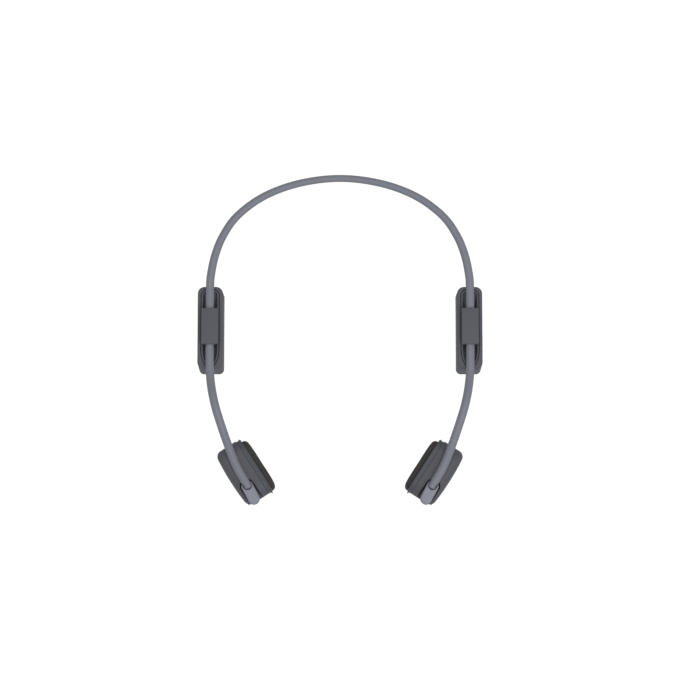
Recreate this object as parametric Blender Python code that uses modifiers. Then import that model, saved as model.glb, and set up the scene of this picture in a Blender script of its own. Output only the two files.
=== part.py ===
"""Bone conduction headphones with a sprung neckband.

Units are metres, +Z is up and the wearer faces -Y, so the wearer's right side is at -X. The
headset stands on the undersides of its two modules and its two pods, and the origin is on that
surface, under the middle of the whole object. The neckband runs from the nape over a module
behind each ear, arches over the ear, and ends in a knuckle that carries the pod. Each pod
presses a padded driver on the cheekbone and swivels a little on the knuckle's pin.
"""

import math

import bmesh
import bpy
from mathutils import Matrix, Vector

# ---------------------------------------------------------------- driving dimensions, metres
GAP = 0.0003  # left between pieces that rest on each other
SIDES = {"right": -1, "left": 1}

# The neckband's centre line seen from above, from the nape to the end of the left arm.
BAND_PLAN = [
    (0.0, 0.0808),
    (0.0203, 0.0783),
    (0.0378, 0.0718),
    (0.0510, 0.0621),
    (0.0583, 0.0519),
    (0.06235, 0.04175),
    (0.0644, 0.0316),
    (0.0648, 0.0240),
    (0.0648, 0.0055),
    (0.0647, -0.0140),
    (0.0638, -0.0240),
    (0.06165, -0.0344),
    (0.0587, -0.0440),
    (0.0551, -0.0543),
    (0.0513, -0.0637),
    (0.04765, -0.0702),
    (0.04434, -0.0757),
]
BAND_HEIGHT = 0.0230  # centre line over the modules and round the nape
POD_BAND_HEIGHT = 0.0252  # centre line over the pods
HOOK_START_Y = -0.0150
HOOK_END_Y = -0.0520
HOOK_RISE = 0.0050  # how far the ear hook arches above the straight line
NAPE_RADIUS = 0.00177
SIDE_RADIUS = 0.00203
TAPER_LENGTH = 0.115  # from the nape's middle to where the band is full size
JACKET_WALL = 0.0008
WIRE_RADIUS = 0.00045
HINGE_AT = 0.048  # distance along the band from the nape's middle to each flexing shoulder
HINGE_HALF_GAP = 0.0005
BAND_STEP = 0.0040
MIDDLE_SHIFT_Y = 0.00006  # centres the whole object on the origin

# Modules behind the ears
MODULE_X = 0.06475
MODULE_Y = 0.0055
MODULE_WIDTH = 0.0125
MODULE_LENGTH = 0.0411
MODULE_TOP = 0.0215
MODULE_CORNER = 0.0034
SIDE_WALL = 0.0012
END_WALL = 0.0022
COVER_HEIGHT = 0.0030
MODULE_EDGE = 0.0008  # rounding between the module's sides and its top
INNER_CORNER = 0.0018
LIP_HEIGHT = 0.0005  # the raised lip round the band's trough
# Boat-shaped outlines: half width, then where each end starts to curve in and where it would close
LIP = {"half_width": 0.00455, "rear": (0.0160, 0.0196), "front": (0.0110, 0.0204)}
TROUGH = {"half_width": 0.00335, "rear": (0.0150, 0.0186), "front": (0.0105, 0.0186)}
BOAT_END_HALF_WIDTH = 0.0017  # the ends are cut square under the band
TROUGH_DEPTH = 0.0030
CAVITY_TOP = 0.0168
OVERCUT = 0.001  # how far a cutter reaches past the wall that it opens
CLAMP_WIDTH = 0.0084
CLAMP_LENGTH = 0.0176
CLAMP_TOP = 0.0262
CLAMP_CHAMFER = 0.0006
SCREW_Y = 0.0162
BOSS_RADIUS = 0.0026
BOSS_BOTTOM = 0.0047
BOSS_TOP = 0.0072
SCREW_RADIUS = 0.0006
SCREW_HEAD_RADIUS = 0.0012
SCREW_HEAD = (0.0003, 0.0005, 0.0011)  # heights of its dished face, its edge and its seat
HEAD_RECESS = 0.0014
COVER_LEVELS = [(0.0, 0.0014), (0.0004, 0.0005), (0.0014, 0.0)]  # height, inset
COVER_STEP = 0.0012
COVER_STEP_CORNER = 0.0015

# Battery of the left module, as (near, far) distances outwards and (length, height, corner)
CELL_X = (-0.0040, 0.0032)
CELL_SIZE = (0.0260, 0.0112, 0.0014)
CELL_MIDDLE = (0.0, 0.0108)
CELL_BOARD_X = (0.0035, 0.0043)
CELL_BOARD_SIZE = (0.0220, 0.0096, 0.0006)

# Controls and charging port of the right module, in the module's own frame
BUTTON_HEIGHT = 0.0120
BUTTON_CORNER = 0.0012
BUTTON_WIDTH = 0.0026
BUTTON_CHAMFER = 0.0002
BUTTONS = {"volume_up": (0.0060, 0.0054), "volume_down": (-0.0015, 0.0054), "main": (-0.0105, 0.0072)}
FLANGE_MARGIN = 0.0006
BOARD_X = 0.0014
LIGHT_Y = 0.0120
MICROPHONE_Y = -0.0165
MICROPHONE_HEIGHT = 0.0065
FLANGE_THICKNESS = 0.0008
SWITCH_TOP_X = 0.0031
SWITCH_SIZE = (0.0030, 0.0024, 0.0004)
BOARD_THICKNESS = 0.0008
BOARD_SIZE = (0.0250, 0.0086, 0.0008)
BOARD_Y = -0.0025
BOARD_Z = 0.0120
SHIELD_DEPTH = 0.0017
SHIELD_SIZE = (0.0110, 0.0074, 0.0005)
SHIELD_Y = -0.0060
LIGHT_RADIUS = 0.0008
MICROPHONE_RADIUS = 0.0010
GRILLE_RECESS = 0.0002
PIPE_TAIL = 0.0006  # how far the light pipe and the microphone reach inside the wall
PORT_HEIGHT = 0.0120
PORT_X = -0.0012
SOCKET_WIDTH = 0.0032
SOCKET_HEIGHT = 0.0088
SOCKET_DEPTH = 0.0060
SOCKET_CORNER = 0.0011
SOCKET_WALL = 0.0003
SOCKET_FLOOR = 0.0020
FLAP_THICKNESS = 0.0009
FLAP_WIDTH = 0.0060
FLAP_HEIGHT = 0.0114
FLAP_SEAT_CORNER = 0.0006
FLAP_CHAMFER = (0.0003, 0.0004)
PLUG_MARGIN = 0.0005  # clear all round inside the charging socket
PLUG_LENGTH = 0.0006
PLUG_CORNER = 0.0009
FLAP_HINGE_HEIGHT = PORT_HEIGHT - FLAP_HEIGHT / 2 + FLAP_THICKNESS / 2

# Pods, in a frame at the swivel pin: +x outwards from the head, +y to the rear
POD_PIVOT = (0.04569, -0.07365)
POD_TURN = math.radians(32.8)
POD_HEIGHT = 0.0230
POD_LENGTH = 0.0307
POD_MIDDLE_Y = 0.0070
POD_CORNER = 0.0065
POD_OUTER_X = 0.00586
POD_MOUTH_X = -0.0070
POD_CROWN = 0.0006
POD_EDGE = 0.0034  # rounding between the pod's side and its outer face
EDGE_STEPS = 3
CROWN_INSET = 0.0050
POD_CAVITY = (0.0281, 0.0134, 0.0040)  # length, height, corner
POD_CAVITY_Z = 0.0081
POD_CAVITY_X = 0.0044
RIM_FACE_X = -0.0094
RIM_LENGTH = 0.0306
RIM_MIDDLE_Y = 0.0067
RIM_STEP = 0.0004
RIM_CHAMFER = 0.0003
PAD_FACE_X = -0.0122
PAD_LENGTH = 0.0279
PAD_MIDDLE_Y = 0.0065
PAD_HEIGHT = 0.0198
PAD_CORNER = 0.0050
PAD_EDGE = [(0.0014, 0.0), (0.0004, 0.0006), (0.0, 0.0020)]  # depth behind the face, inset
WINDOW = (0.0220, 0.0086, 0.0020)  # opening in the rim for the drive block
SPIGOT = (0.0255, 0.0108, 0.0030)
SPIGOT_X = -0.0058
GASKET_OUTER = (0.0275, 0.0128, 0.0037)
GASKET_INNER = (0.0261, 0.0114, 0.0033)
GASKET_SEAT = 0.0006

# Drivers, as distances outwards from the pin and (length, height, corner)
YOKE_OUTER = (0.0210, 0.0124, 0.0030)
YOKE_INNER = (0.0186, 0.0100, 0.0018)
YOKE_MOUTH_X = -0.0018
YOKE_WALL = 0.0012
MAGNET_SIZE = (0.0148, 0.0064, 0.0008)
MAGNET_FACE_X = -0.0016
COIL_OUTER = (0.0178, 0.0092, 0.0016)
COIL_INNER = (0.0156, 0.0072, 0.0010)
COIL_BACK_X = 0.0010
COIL_FRONT_X = -0.0040
PLATE_SIZE = (0.0225, 0.0098, 0.0020)
PLATE_THICKNESS = 0.0005
BLOCK_SIZE = (0.0170, 0.0066, 0.0015)
BLOCK_RECESS = 0.0001

# Knuckles and their slots
SLOT_FLOOR = 0.0190
SLOT_MIDDLE_X = 0.00035
SLOT_HALF_WIDTH = 0.00375
KNUCKLE_BOTTOM = 0.0193
KNUCKLE_TOP = 0.0269
KNUCKLE_EDGE = 0.0009
KNUCKLE_HALF_WIDTH = 0.0029
KNUCKLE_BACK = (0.0002, -0.0003)  # middles of its two round ends
KNUCKLE_FRONT = (0.0008, -0.0066)
POCKET_END_Y = -0.0031
POCKET_MOUTH_Y = 0.0060
POCKET_CORNER = 0.0008
PIN_RADIUS = 0.0008
PIN_BOTTOM = 0.0162
PIN_TOP = 0.0222


# ---------------------------------------------------------------- scene, materials, helpers
for old in list(bpy.data.objects):
    bpy.data.objects.remove(old, do_unlink=True)

HEADSET = bpy.data.collections.new("bone_conduction_headphones")
CUTTERS = bpy.data.collections.new("cutters")
for group in (HEADSET, CUTTERS):
    bpy.context.scene.collection.children.link(group)


def linear(value):
    """One sRGB channel, 0 to 255, as the linear value that a shader takes."""
    value /= 255
    return value / 12.92 if value <= 0.04045 else ((value + 0.055) / 1.055) ** 2.4


def make_material(name, rgb, roughness, metallic=0.0):
    material = bpy.data.materials.new(name)
    material.use_nodes = True
    shader = material.node_tree.nodes["Principled BSDF"]
    shader.inputs["Base Color"].default_value = (*[linear(c) for c in rgb], 1.0)
    shader.inputs["Roughness"].default_value = roughness
    shader.inputs["Metallic"].default_value = metallic
    return material


SILICONE = make_material("band_silicone", (134, 137, 147), 0.55)
HOUSING = make_material("housing_plastic", (88, 91, 96), 0.5)
RIM_PLASTIC = make_material("rim_plastic", (96, 98, 102), 0.45)
MESH_PAD = make_material("mesh_pad", (62, 58, 54), 0.9)
SEAL_RUBBER = make_material("seal_rubber", (45, 46, 48), 0.8)
SPRING_METAL = make_material("spring_metal", (170, 168, 165), 0.35, 1.0)
STEEL = make_material("steel", (150, 152, 156), 0.3, 1.0)
MAGNET_PLATING = make_material("magnet_plating", (178, 178, 180), 0.2, 1.0)
COPPER = make_material("coil_copper", (184, 110, 62), 0.35, 1.0)
BOARD_GREEN = make_material("board_green", (28, 74, 52), 0.5)
CELL_FOIL = make_material("cell_foil", (176, 178, 184), 0.35, 0.8)
DARK_PLASTIC = make_material("dark_plastic", (38, 39, 42), 0.5)
LIGHT_PIPE = make_material("light_pipe", (214, 220, 228), 0.25)


def make_empty(name, place, turn=0.0, parent=None):
    """An empty on a joint's axis or at a module's middle; place is in the parent's frame."""
    empty = bpy.data.objects.new(name, None)
    HEADSET.objects.link(empty)
    empty.empty_display_size = 0.01
    empty.location = place
    empty.rotation_euler.z = turn
    empty.parent = parent
    return empty


def make_piece(name, mesh, parent, material):
    """A named sub-part of the headset; its mesh is in the frame of its parent empty."""
    mesh.name = name
    mesh.materials.clear()
    mesh.materials.append(material)
    mesh.shade_smooth()
    mesh.set_sharp_from_angle(angle=math.radians(35))
    piece = bpy.data.objects.new(name, mesh)
    HEADSET.objects.link(piece)
    piece.parent = parent
    return piece


def use_tool(piece, tool_mesh, operation="DIFFERENCE"):
    """Cuts a tool's shape out of a piece, or joins it on, in the piece's own frame."""
    tool = bpy.data.objects.new(f"{piece.name}_tool", tool_mesh)
    CUTTERS.objects.link(tool)
    tool.parent = piece.parent
    tool.location = piece.location
    tool.hide_render = True
    tool.display_type = "WIRE"
    boolean = piece.modifiers.new("shape", "BOOLEAN")
    boolean.operation = operation
    boolean.object = tool


def round_edges(piece, width, segments=2):
    bevel = piece.modifiers.new("round edges", "BEVEL")
    bevel.width = width
    bevel.segments = segments
    bevel.limit_method = "ANGLE"
    bevel.angle_limit = math.radians(40)


def rounded_rectangle(length, height, corner, steps=4, middle=(0.0, 0.0)):
    """Points counter-clockwise round a rectangle with round corners."""
    points = []
    for turn, (sign_u, sign_v) in enumerate(((1, 1), (-1, 1), (-1, -1), (1, -1))):
        centre_u = middle[0] + sign_u * (length / 2 - corner)
        centre_v = middle[1] + sign_v * (height / 2 - corner)
        for step in range(steps + 1):
            angle = math.pi / 2 * (turn + step / steps)
            points.append((centre_u + corner * math.cos(angle), centre_v + corner * math.sin(angle)))
    return points


def half_circle(middle_x, middle_y, radius, start, steps=8):
    """Points counter-clockwise round half a circle in plan."""
    angles = [start + math.pi * step / steps for step in range(steps + 1)]
    return [(middle_x + radius * math.cos(a), middle_y + radius * math.sin(a)) for a in angles]


def loft(rings):
    """A closed mesh through rings with equal numbers of points, its first and last ring capped."""
    shape = bmesh.new()
    loops = [[shape.verts.new(point) for point in ring] for ring in rings]
    for near, far in zip(loops, loops[1:]):
        for i in range(len(near)):
            j = (i + 1) % len(near)
            shape.faces.new((near[i], near[j], far[j], far[i]))
    shape.faces.new(loops[0])
    shape.faces.new(loops[-1])
    return mesh_from(shape)


def loft_ring(rings):
    """A closed mesh round a hole: the last ring joins back to the first."""
    shape = bmesh.new()
    loops = [[shape.verts.new(point) for point in ring] for ring in rings]
    for near, far in zip(loops, loops[1:] + loops[:1]):
        for i in range(len(near)):
            j = (i + 1) % len(near)
            shape.faces.new((near[i], near[j], far[j], far[i]))
    return mesh_from(shape)


def mesh_from(shape):
    bmesh.ops.recalc_face_normals(shape, faces=shape.faces)
    mesh = bpy.data.meshes.new("piece")
    shape.to_mesh(mesh)
    shape.free()
    return mesh


def upright_rings(levels, length, width, corner, steps=4):
    """Rings in plan: each level is (z, inset) and shrinks a rounded rectangle by its inset."""
    rings = []
    for z, inset in levels:
        outline = rounded_rectangle(
            width - 2 * inset, length - 2 * inset, max(corner - inset, 0.0004), steps
        )
        rings.append([(x, y, z) for x, y in outline])
    return rings


def facing_ring(side, x, length, height, corner, middle, steps=4):
    """A ring in a pod's or a side wall's plane: y and z across it, x its distance outwards."""
    outline = rounded_rectangle(length, height, corner, steps, middle)
    return [(side * x, y, z) for y, z in outline]


def facing_block(side, near_x, far_x, length, height, corner, middle, steps=4):
    """A rounded plate that faces sideways, from near_x to far_x."""
    return loft([facing_ring(side, x, length, height, corner, middle, steps) for x in (near_x, far_x)])


def end_block(middle_x, middle_z, width, height, corner, near_y, far_y):
    """A rounded plate that faces the rear, from near_y to far_y."""
    outline = rounded_rectangle(width, height, corner, middle=(middle_x, middle_z))
    return loft([[(x, y, z) for x, z in outline] for y in (near_y, far_y)])


def cylinder(radius, start, end, segments=16):
    """A round bar from one point to another."""
    start, end = Vector(start), Vector(end)
    along = end - start
    shape = bmesh.new()
    turn = along.to_track_quat("Z", "Y").to_matrix().to_4x4()
    bmesh.ops.create_cone(
        shape,
        cap_ends=True,
        segments=segments,
        radius1=radius,
        radius2=radius,
        depth=along.length,
        matrix=Matrix.Translation((start + end) / 2) @ turn,
    )
    return mesh_from(shape)


def curve_mesh(curve):
    """A curve's evaluated mesh with its caps welded; the curve itself is removed."""
    holder = bpy.data.objects.new("outline", curve)
    CUTTERS.objects.link(holder)
    graph = bpy.context.evaluated_depsgraph_get()
    mesh = bpy.data.meshes.new_from_object(holder.evaluated_get(graph))
    bpy.data.objects.remove(holder, do_unlink=True)
    bpy.data.curves.remove(curve)
    shape = bmesh.new()
    shape.from_mesh(mesh)
    bmesh.ops.remove_doubles(shape, verts=shape.verts, dist=0.000001)
    bpy.data.meshes.remove(mesh)
    return shape


def plan_plate(outline, low, high):
    """A flat outline in plan, as thick as from low to high."""
    curve = bpy.data.curves.new("outline", "CURVE")
    curve.dimensions = "2D"
    curve.fill_mode = "BOTH"
    curve.extrude = (high - low) / 2
    spline = curve.splines.new("POLY")
    spline.points.add(len(outline) - 1)
    for point, (x, y) in zip(spline.points, outline):
        point.co = (x, y, 0.0, 1.0)
    spline.use_cyclic_u = True
    shape = curve_mesh(curve)
    bmesh.ops.translate(shape, verts=shape.verts, vec=(0.0, 0.0, (low + high) / 2))
    return mesh_from(shape)


def round_tube(path, sides_resolution, capped=True):
    """A round bar or open tube through (point, radius) pairs."""
    curve = bpy.data.curves.new("tube", "CURVE")
    curve.dimensions = "3D"
    curve.bevel_depth = 1.0
    curve.bevel_resolution = sides_resolution
    curve.use_fill_caps = capped
    spline = curve.splines.new("POLY")
    spline.points.add(len(path) - 1)
    for point, (place, radius) in zip(spline.points, path):
        point.co = (*place, 1.0)
        point.radius = radius
    return mesh_from(curve_mesh(curve))


# ---------------------------------------------------------------- the neckband's centre line
def smooth_step(value):
    value = min(max(value, 0.0), 1.0)
    return value * value * (3 - 2 * value)


def band_height(y):
    """The band is level round the nape, arches over the ear and is level over the pod."""
    t = min(max((HOOK_START_Y - y) / (HOOK_START_Y - HOOK_END_Y), 0.0), 1.0)
    step_up = (POD_BAND_HEIGHT - BAND_HEIGHT) * smooth_step(t)
    return BAND_HEIGHT + step_up + HOOK_RISE * math.sin(math.pi * t) ** 2


def band_line(samples=12):
    """The left half of the centre line: (distance from the nape's middle, point) pairs."""
    first = Vector((-BAND_PLAN[1][0], BAND_PLAN[1][1]))
    plan = [first] + [Vector(point) for point in BAND_PLAN]
    plan.append(2 * plan[-1] - plan[-2])
    points = []
    for before, start, end, after in zip(plan, plan[1:], plan[2:], plan[3:]):
        for step in range(samples):
            t = step / samples
            leaving = (end - before) * 0.5
            arriving = (after - start) * 0.5
            place = (
                start * (2 * t**3 - 3 * t**2 + 1)
                + leaving * (t**3 - 2 * t**2 + t)
                + end * (3 * t**2 - 2 * t**3)
                + arriving * (t**3 - t**2)
            )
            points.append(Vector((place.x, place.y, band_height(place.y))))
    last = plan[-2]
    points.append(Vector((last.x, last.y, band_height(last.y))))
    line = [(0.0, points[0])]
    for here, there in zip(points, points[1:]):
        line.append((line[-1][0] + (there - here).length, there))
    return line


BAND_LINE = band_line()
BAND_END = BAND_LINE[-1][0]


def band_point(distance, side=1):
    """The centre line's point at a distance from the nape's middle, on one side."""
    for (near, start), (far, end) in zip(BAND_LINE, BAND_LINE[1:]):
        if distance <= far:
            break
    place = start.lerp(end, (distance - near) / (far - near))
    return Vector((side * place.x, place.y, place.z))


def band_radius(distance):
    return NAPE_RADIUS + (SIDE_RADIUS - NAPE_RADIUS) * smooth_step(distance / TAPER_LENGTH)


def band_run(start, end, side, origin, radius=None):
    """(point, radius) pairs along one side, in a frame at origin; radius None follows the jacket."""
    count = max(2, round((end - start) / BAND_STEP))
    run = []
    for step in range(count + 1):
        distance = start + (end - start) * step / count
        run.append((band_point(distance, side) - origin, radius or band_radius(distance)))
    return run


def nape_run(reach, origin, radius=None):
    """The stretch round the nape, from the right shoulder to the left one."""
    left = band_run(0.0, reach, 1, origin, radius)
    right = band_run(0.0, reach, -1, origin, radius)
    return right[:0:-1] + left


def make_jacket(name, run, parent):
    """A silicone tube with an open bore for the spring wire."""
    jacket = make_piece(name, round_tube(run, 4, capped=False), parent, SILICONE)
    wall = jacket.modifiers.new("wall", "SOLIDIFY")
    wall.thickness = JACKET_WALL
    wall.offset = -1.0
    return jacket


def make_wire(name, run, parent):
    return make_piece(name, round_tube(run, 2), parent, SPRING_METAL)


# ---------------------------------------------------------------- modules
def boat_outline(half_width, rear, front, steps=8):
    """Straight sides whose ends curve in as quarter ellipses, fuller at the rear than at the front."""
    side = []
    for sign, (straight, end) in ((-1, front), (1, rear)):
        last = math.acos(BOAT_END_HALF_WIDTH / half_width)
        angles = [last * step / steps for step in range(steps + 1)]
        run = [
            (half_width * math.cos(a), sign * (straight + (end - straight) * math.sin(a)))
            for a in angles
        ]
        side += run if sign > 0 else run[::-1]
    return side + [(-x, y) for x, y in reversed(side)]


def make_module_shell(name, parent):
    """The housing's upper shell, open underneath, with the band's trough and its raised lip."""
    inner = (MODULE_WIDTH - 2 * SIDE_WALL, MODULE_LENGTH - 2 * END_WALL)
    mouth = COVER_HEIGHT + GAP / 2
    inner_rings = [
        [(x, y, z) for x, y in rounded_rectangle(*inner, INNER_CORNER)] for z in (CAVITY_TOP, mouth)
    ]
    outer_levels = [(mouth, 0.0)]
    for step in range(3):
        angle = math.pi / 4 * step
        fall = MODULE_EDGE * (1 - math.sin(angle))
        outer_levels.append((MODULE_TOP - fall, MODULE_EDGE * (1 - math.cos(angle))))
    outer_rings = upright_rings(outer_levels, MODULE_LENGTH, MODULE_WIDTH, MODULE_CORNER)
    shell = make_piece(name, loft(inner_rings + outer_rings), parent, HOUSING)
    lip = boat_outline(**LIP)
    use_tool(shell, plan_plate(lip, MODULE_TOP - OVERCUT, MODULE_TOP + LIP_HEIGHT), "UNION")
    trough = boat_outline(**TROUGH)
    over = MODULE_TOP + LIP_HEIGHT + OVERCUT
    use_tool(shell, plan_plate(trough, MODULE_TOP - TROUGH_DEPTH, over))
    channel_end = MODULE_LENGTH / 2 + OVERCUT
    channel = cylinder(
        SIDE_RADIUS + GAP, (0, -channel_end, BAND_HEIGHT), (0, channel_end, BAND_HEIGHT), 24
    )
    use_tool(shell, channel)
    for y in (-SCREW_Y, SCREW_Y):
        use_tool(shell, cylinder(BOSS_RADIUS, (0, y, BOSS_BOTTOM), (0, y, BOSS_TOP)), "UNION")
        bore = cylinder(SCREW_RADIUS + GAP, (0, y, 0), (0, y, BOSS_TOP - SIDE_WALL), 12)
        use_tool(shell, bore)
    return shell


def make_module_cover(name, parent):
    """The bottom cover: a rounded tray whose raised step fits inside the shell's mouth."""
    step_inset_x = SIDE_WALL + GAP
    step_inset_y = END_WALL + GAP
    top = COVER_HEIGHT - GAP / 2
    levels = [*COVER_LEVELS, (top, 0.0)]
    rings = upright_rings(levels, MODULE_LENGTH, MODULE_WIDTH, MODULE_CORNER)
    step = rounded_rectangle(
        MODULE_WIDTH - 2 * step_inset_x, MODULE_LENGTH - 2 * step_inset_y, COVER_STEP_CORNER
    )
    step_top = COVER_HEIGHT + COVER_STEP
    for z in (top, step_top):
        rings.append([(x, y, z) for x, y in step])
    cover = make_piece(name, loft(rings), parent, HOUSING)
    for y in (-SCREW_Y, SCREW_Y):
        use_tool(cover, cylinder(SCREW_HEAD_RADIUS + GAP, (0, y, -OVERCUT), (0, y, HEAD_RECESS)))
        use_tool(cover, cylinder(SCREW_RADIUS + GAP, (0, y, 0), (0, y, step_top + OVERCUT), 12))
    return cover


def make_cover_screw(name, y, parent):
    """A small pan-head screw, its profile turned about its own axis."""
    face, edge, seat = SCREW_HEAD
    profile = [
        (SCREW_RADIUS, BOSS_TOP - SIDE_WALL - GAP),
        (SCREW_RADIUS, seat),
        (SCREW_HEAD_RADIUS, seat),
        (SCREW_HEAD_RADIUS, edge),
        (SCREW_HEAD_RADIUS * 0.7, face),
    ]
    sides = 14
    rings = []
    for radius, z in profile:
        angles = [2 * math.pi * i / sides for i in range(sides)]
        rings.append([(radius * math.cos(a), y + radius * math.sin(a), z) for a in angles])
    return make_piece(name, loft(rings), parent, STEEL)


def make_band_clamp(name, parent):
    """The saddle that holds the band down in the trough: a block with an arched tunnel."""
    half = CLAMP_WIDTH / 2
    chamfer = CLAMP_CHAMFER
    low = MODULE_TOP + LIP_HEIGHT + GAP
    radius = SIDE_RADIUS + GAP
    arch = []
    for step in range(13):
        angle = math.pi * step / 12
        arch.append((radius * math.cos(angle), BAND_HEIGHT + radius * math.sin(angle)))
    outline = [(radius, low), *arch, (-radius, low), (-half, low), (-half, CLAMP_TOP - chamfer)]
    outline += [(-half + chamfer, CLAMP_TOP), (half - chamfer, CLAMP_TOP)]
    outline += [(half, CLAMP_TOP - chamfer), (half, low)]
    mesh = plan_plate(outline, -CLAMP_LENGTH / 2, CLAMP_LENGTH / 2)
    mesh.transform(Matrix.Rotation(math.pi / 2, 4, "X"))
    return make_piece(name, mesh, parent, HOUSING)


def make_left_contents(side, parent):
    """The battery cell and its protection board."""
    cell = facing_block(side, *CELL_X, *CELL_SIZE, CELL_MIDDLE)
    make_piece("battery_cell", cell, parent, CELL_FOIL)
    board = facing_block(side, *CELL_BOARD_X, *CELL_BOARD_SIZE, CELL_MIDDLE, 2)
    make_piece("battery_board", board, parent, BOARD_GREEN)


def make_right_contents(side, parent):
    """Main board, processor shield, key switches, charging socket, light pipe and microphone."""
    board_face = BOARD_X + BOARD_THICKNESS
    board = facing_block(side, BOARD_X, board_face, *BOARD_SIZE, (BOARD_Y, BOARD_Z), 2)
    make_piece("main_board", board, parent, BOARD_GREEN)
    can_depth = (BOARD_X - SHIELD_DEPTH, BOARD_X - GAP)
    shield = facing_block(side, *can_depth, *SHIELD_SIZE, (SHIELD_Y, BOARD_Z), 2)
    make_piece("processor_shield", shield, parent, STEEL)
    for key, (y, _) in BUTTONS.items():
        middle = (y, BUTTON_HEIGHT)
        switch = facing_block(side, board_face + GAP, SWITCH_TOP_X, *SWITCH_SIZE, middle, 2)
        make_piece(f"{key}_switch", switch, parent, DARK_PLASTIC)
    socket_end = MODULE_LENGTH / 2 - END_WALL - GAP
    socket_back = socket_end - SOCKET_DEPTH
    port = (side * PORT_X, PORT_HEIGHT)
    can = end_block(*port, SOCKET_WIDTH, SOCKET_HEIGHT, SOCKET_CORNER, socket_back, socket_end)
    socket = make_piece("charging_socket", can, parent, STEEL)
    mouth = [size - 2 * SOCKET_WALL for size in (SOCKET_WIDTH, SOCKET_HEIGHT)]
    mouth.append(SOCKET_CORNER - SOCKET_WALL)
    use_tool(socket, end_block(*port, *mouth, socket_back + SOCKET_FLOOR, socket_end + OVERCUT))
    wall_x = MODULE_WIDTH / 2
    inside = wall_x - SIDE_WALL - PIPE_TAIL
    pipe = cylinder(
        LIGHT_RADIUS, (side * inside, LIGHT_Y, BUTTON_HEIGHT), (side * wall_x, LIGHT_Y, BUTTON_HEIGHT), 12
    )
    make_piece("light_pipe", pipe, parent, LIGHT_PIPE)
    place = (MICROPHONE_Y, MICROPHONE_HEIGHT)
    grille_x = wall_x - GRILLE_RECESS
    grille = cylinder(MICROPHONE_RADIUS, (side * inside, *place), (side * grille_x, *place), 12)
    make_piece("microphone", grille, parent, DARK_PLASTIC)


def cut_control_openings(side, shell):
    """Button windows, light and microphone holes and the charging port of the right module."""
    outside = MODULE_WIDTH / 2 + OVERCUT
    inside = MODULE_WIDTH / 2 - SIDE_WALL - OVERCUT
    for y, length in BUTTONS.values():
        hole = (length + 2 * GAP, BUTTON_WIDTH + 2 * GAP, BUTTON_CORNER + GAP)
        use_tool(shell, facing_block(side, inside, outside, *hole, (y, BUTTON_HEIGHT)))
    light = (LIGHT_Y, BUTTON_HEIGHT)
    microphone = (MICROPHONE_Y, MICROPHONE_HEIGHT)
    for radius, place in ((LIGHT_RADIUS, light), (MICROPHONE_RADIUS, microphone)):
        hole = cylinder(radius + GAP, (side * inside, *place), (side * outside, *place), 12)
        use_tool(shell, hole)
    end = MODULE_LENGTH / 2
    port = (side * PORT_X, PORT_HEIGHT)
    flap_seat = (FLAP_WIDTH + 2 * GAP, FLAP_HEIGHT + 2 * GAP, FLAP_SEAT_CORNER)
    use_tool(shell, end_block(*port, *flap_seat, end - FLAP_THICKNESS - GAP, end + OVERCUT))
    way_in = (SOCKET_WIDTH, SOCKET_HEIGHT, SOCKET_CORNER)
    use_tool(shell, end_block(*port, *way_in, end - END_WALL - OVERCUT, end + OVERCUT))


def make_button(key, side, parent):
    """A key cap that is flush with the wall, with a flange inside so that it can't fall out."""
    y, length = BUTTONS[key]
    wall_x = MODULE_WIDTH / 2
    flange_x = wall_x - SIDE_WALL - GAP
    stem = (length, BUTTON_WIDTH, BUTTON_CORNER)
    face = [size - 2 * BUTTON_CHAMFER for size in stem[:2]] + [BUTTON_CORNER - BUTTON_CHAMFER]
    flange = (length + 2 * FLANGE_MARGIN, BUTTON_WIDTH + 2 * FLANGE_MARGIN, BUTTON_CORNER + FLANGE_MARGIN)
    levels = [
        (flange_x - FLANGE_THICKNESS, flange),
        (flange_x, flange),
        (flange_x, stem),
        (wall_x - BUTTON_CHAMFER, stem),
        (wall_x, face),
    ]
    rings = [facing_ring(side, x, *size, (y, BUTTON_HEIGHT)) for x, size in levels]
    for ring in rings:
        ring[:] = [(x, v - y, w - BUTTON_HEIGHT) for x, v, w in ring]
    return make_piece(f"{key}_button", loft(rings), parent, HOUSING)


def make_port_flap(side, parent):
    """The rubber flap over the charging port; its frame is on its hinge line."""
    half = FLAP_THICKNESS / 2
    rise = FLAP_HEIGHT - half
    across, down = FLAP_CHAMFER
    side_view = [(-half, rise), (half - across, rise), (half, rise - down)]
    for step in range(7):
        angle = -math.pi * step / 6
        side_view.append((half * math.cos(angle), half * math.sin(angle)))
    outline = [(-z, y) for y, z in side_view]
    mesh = plan_plate(outline, -FLAP_WIDTH / 2, FLAP_WIDTH / 2)
    mesh.transform(Matrix.Rotation(math.pi / 2, 4, "Y"))
    flap = make_piece("charging_port_flap", mesh, parent, SEAL_RUBBER)
    plug_middle = PORT_HEIGHT - FLAP_HINGE_HEIGHT
    size = [size - 2 * PLUG_MARGIN for size in (SOCKET_WIDTH, SOCKET_HEIGHT)]
    plug = end_block(0.0, plug_middle, *size, PLUG_CORNER, -half - PLUG_LENGTH, 0.0)
    use_tool(flap, plug, "UNION")
    return flap


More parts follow.
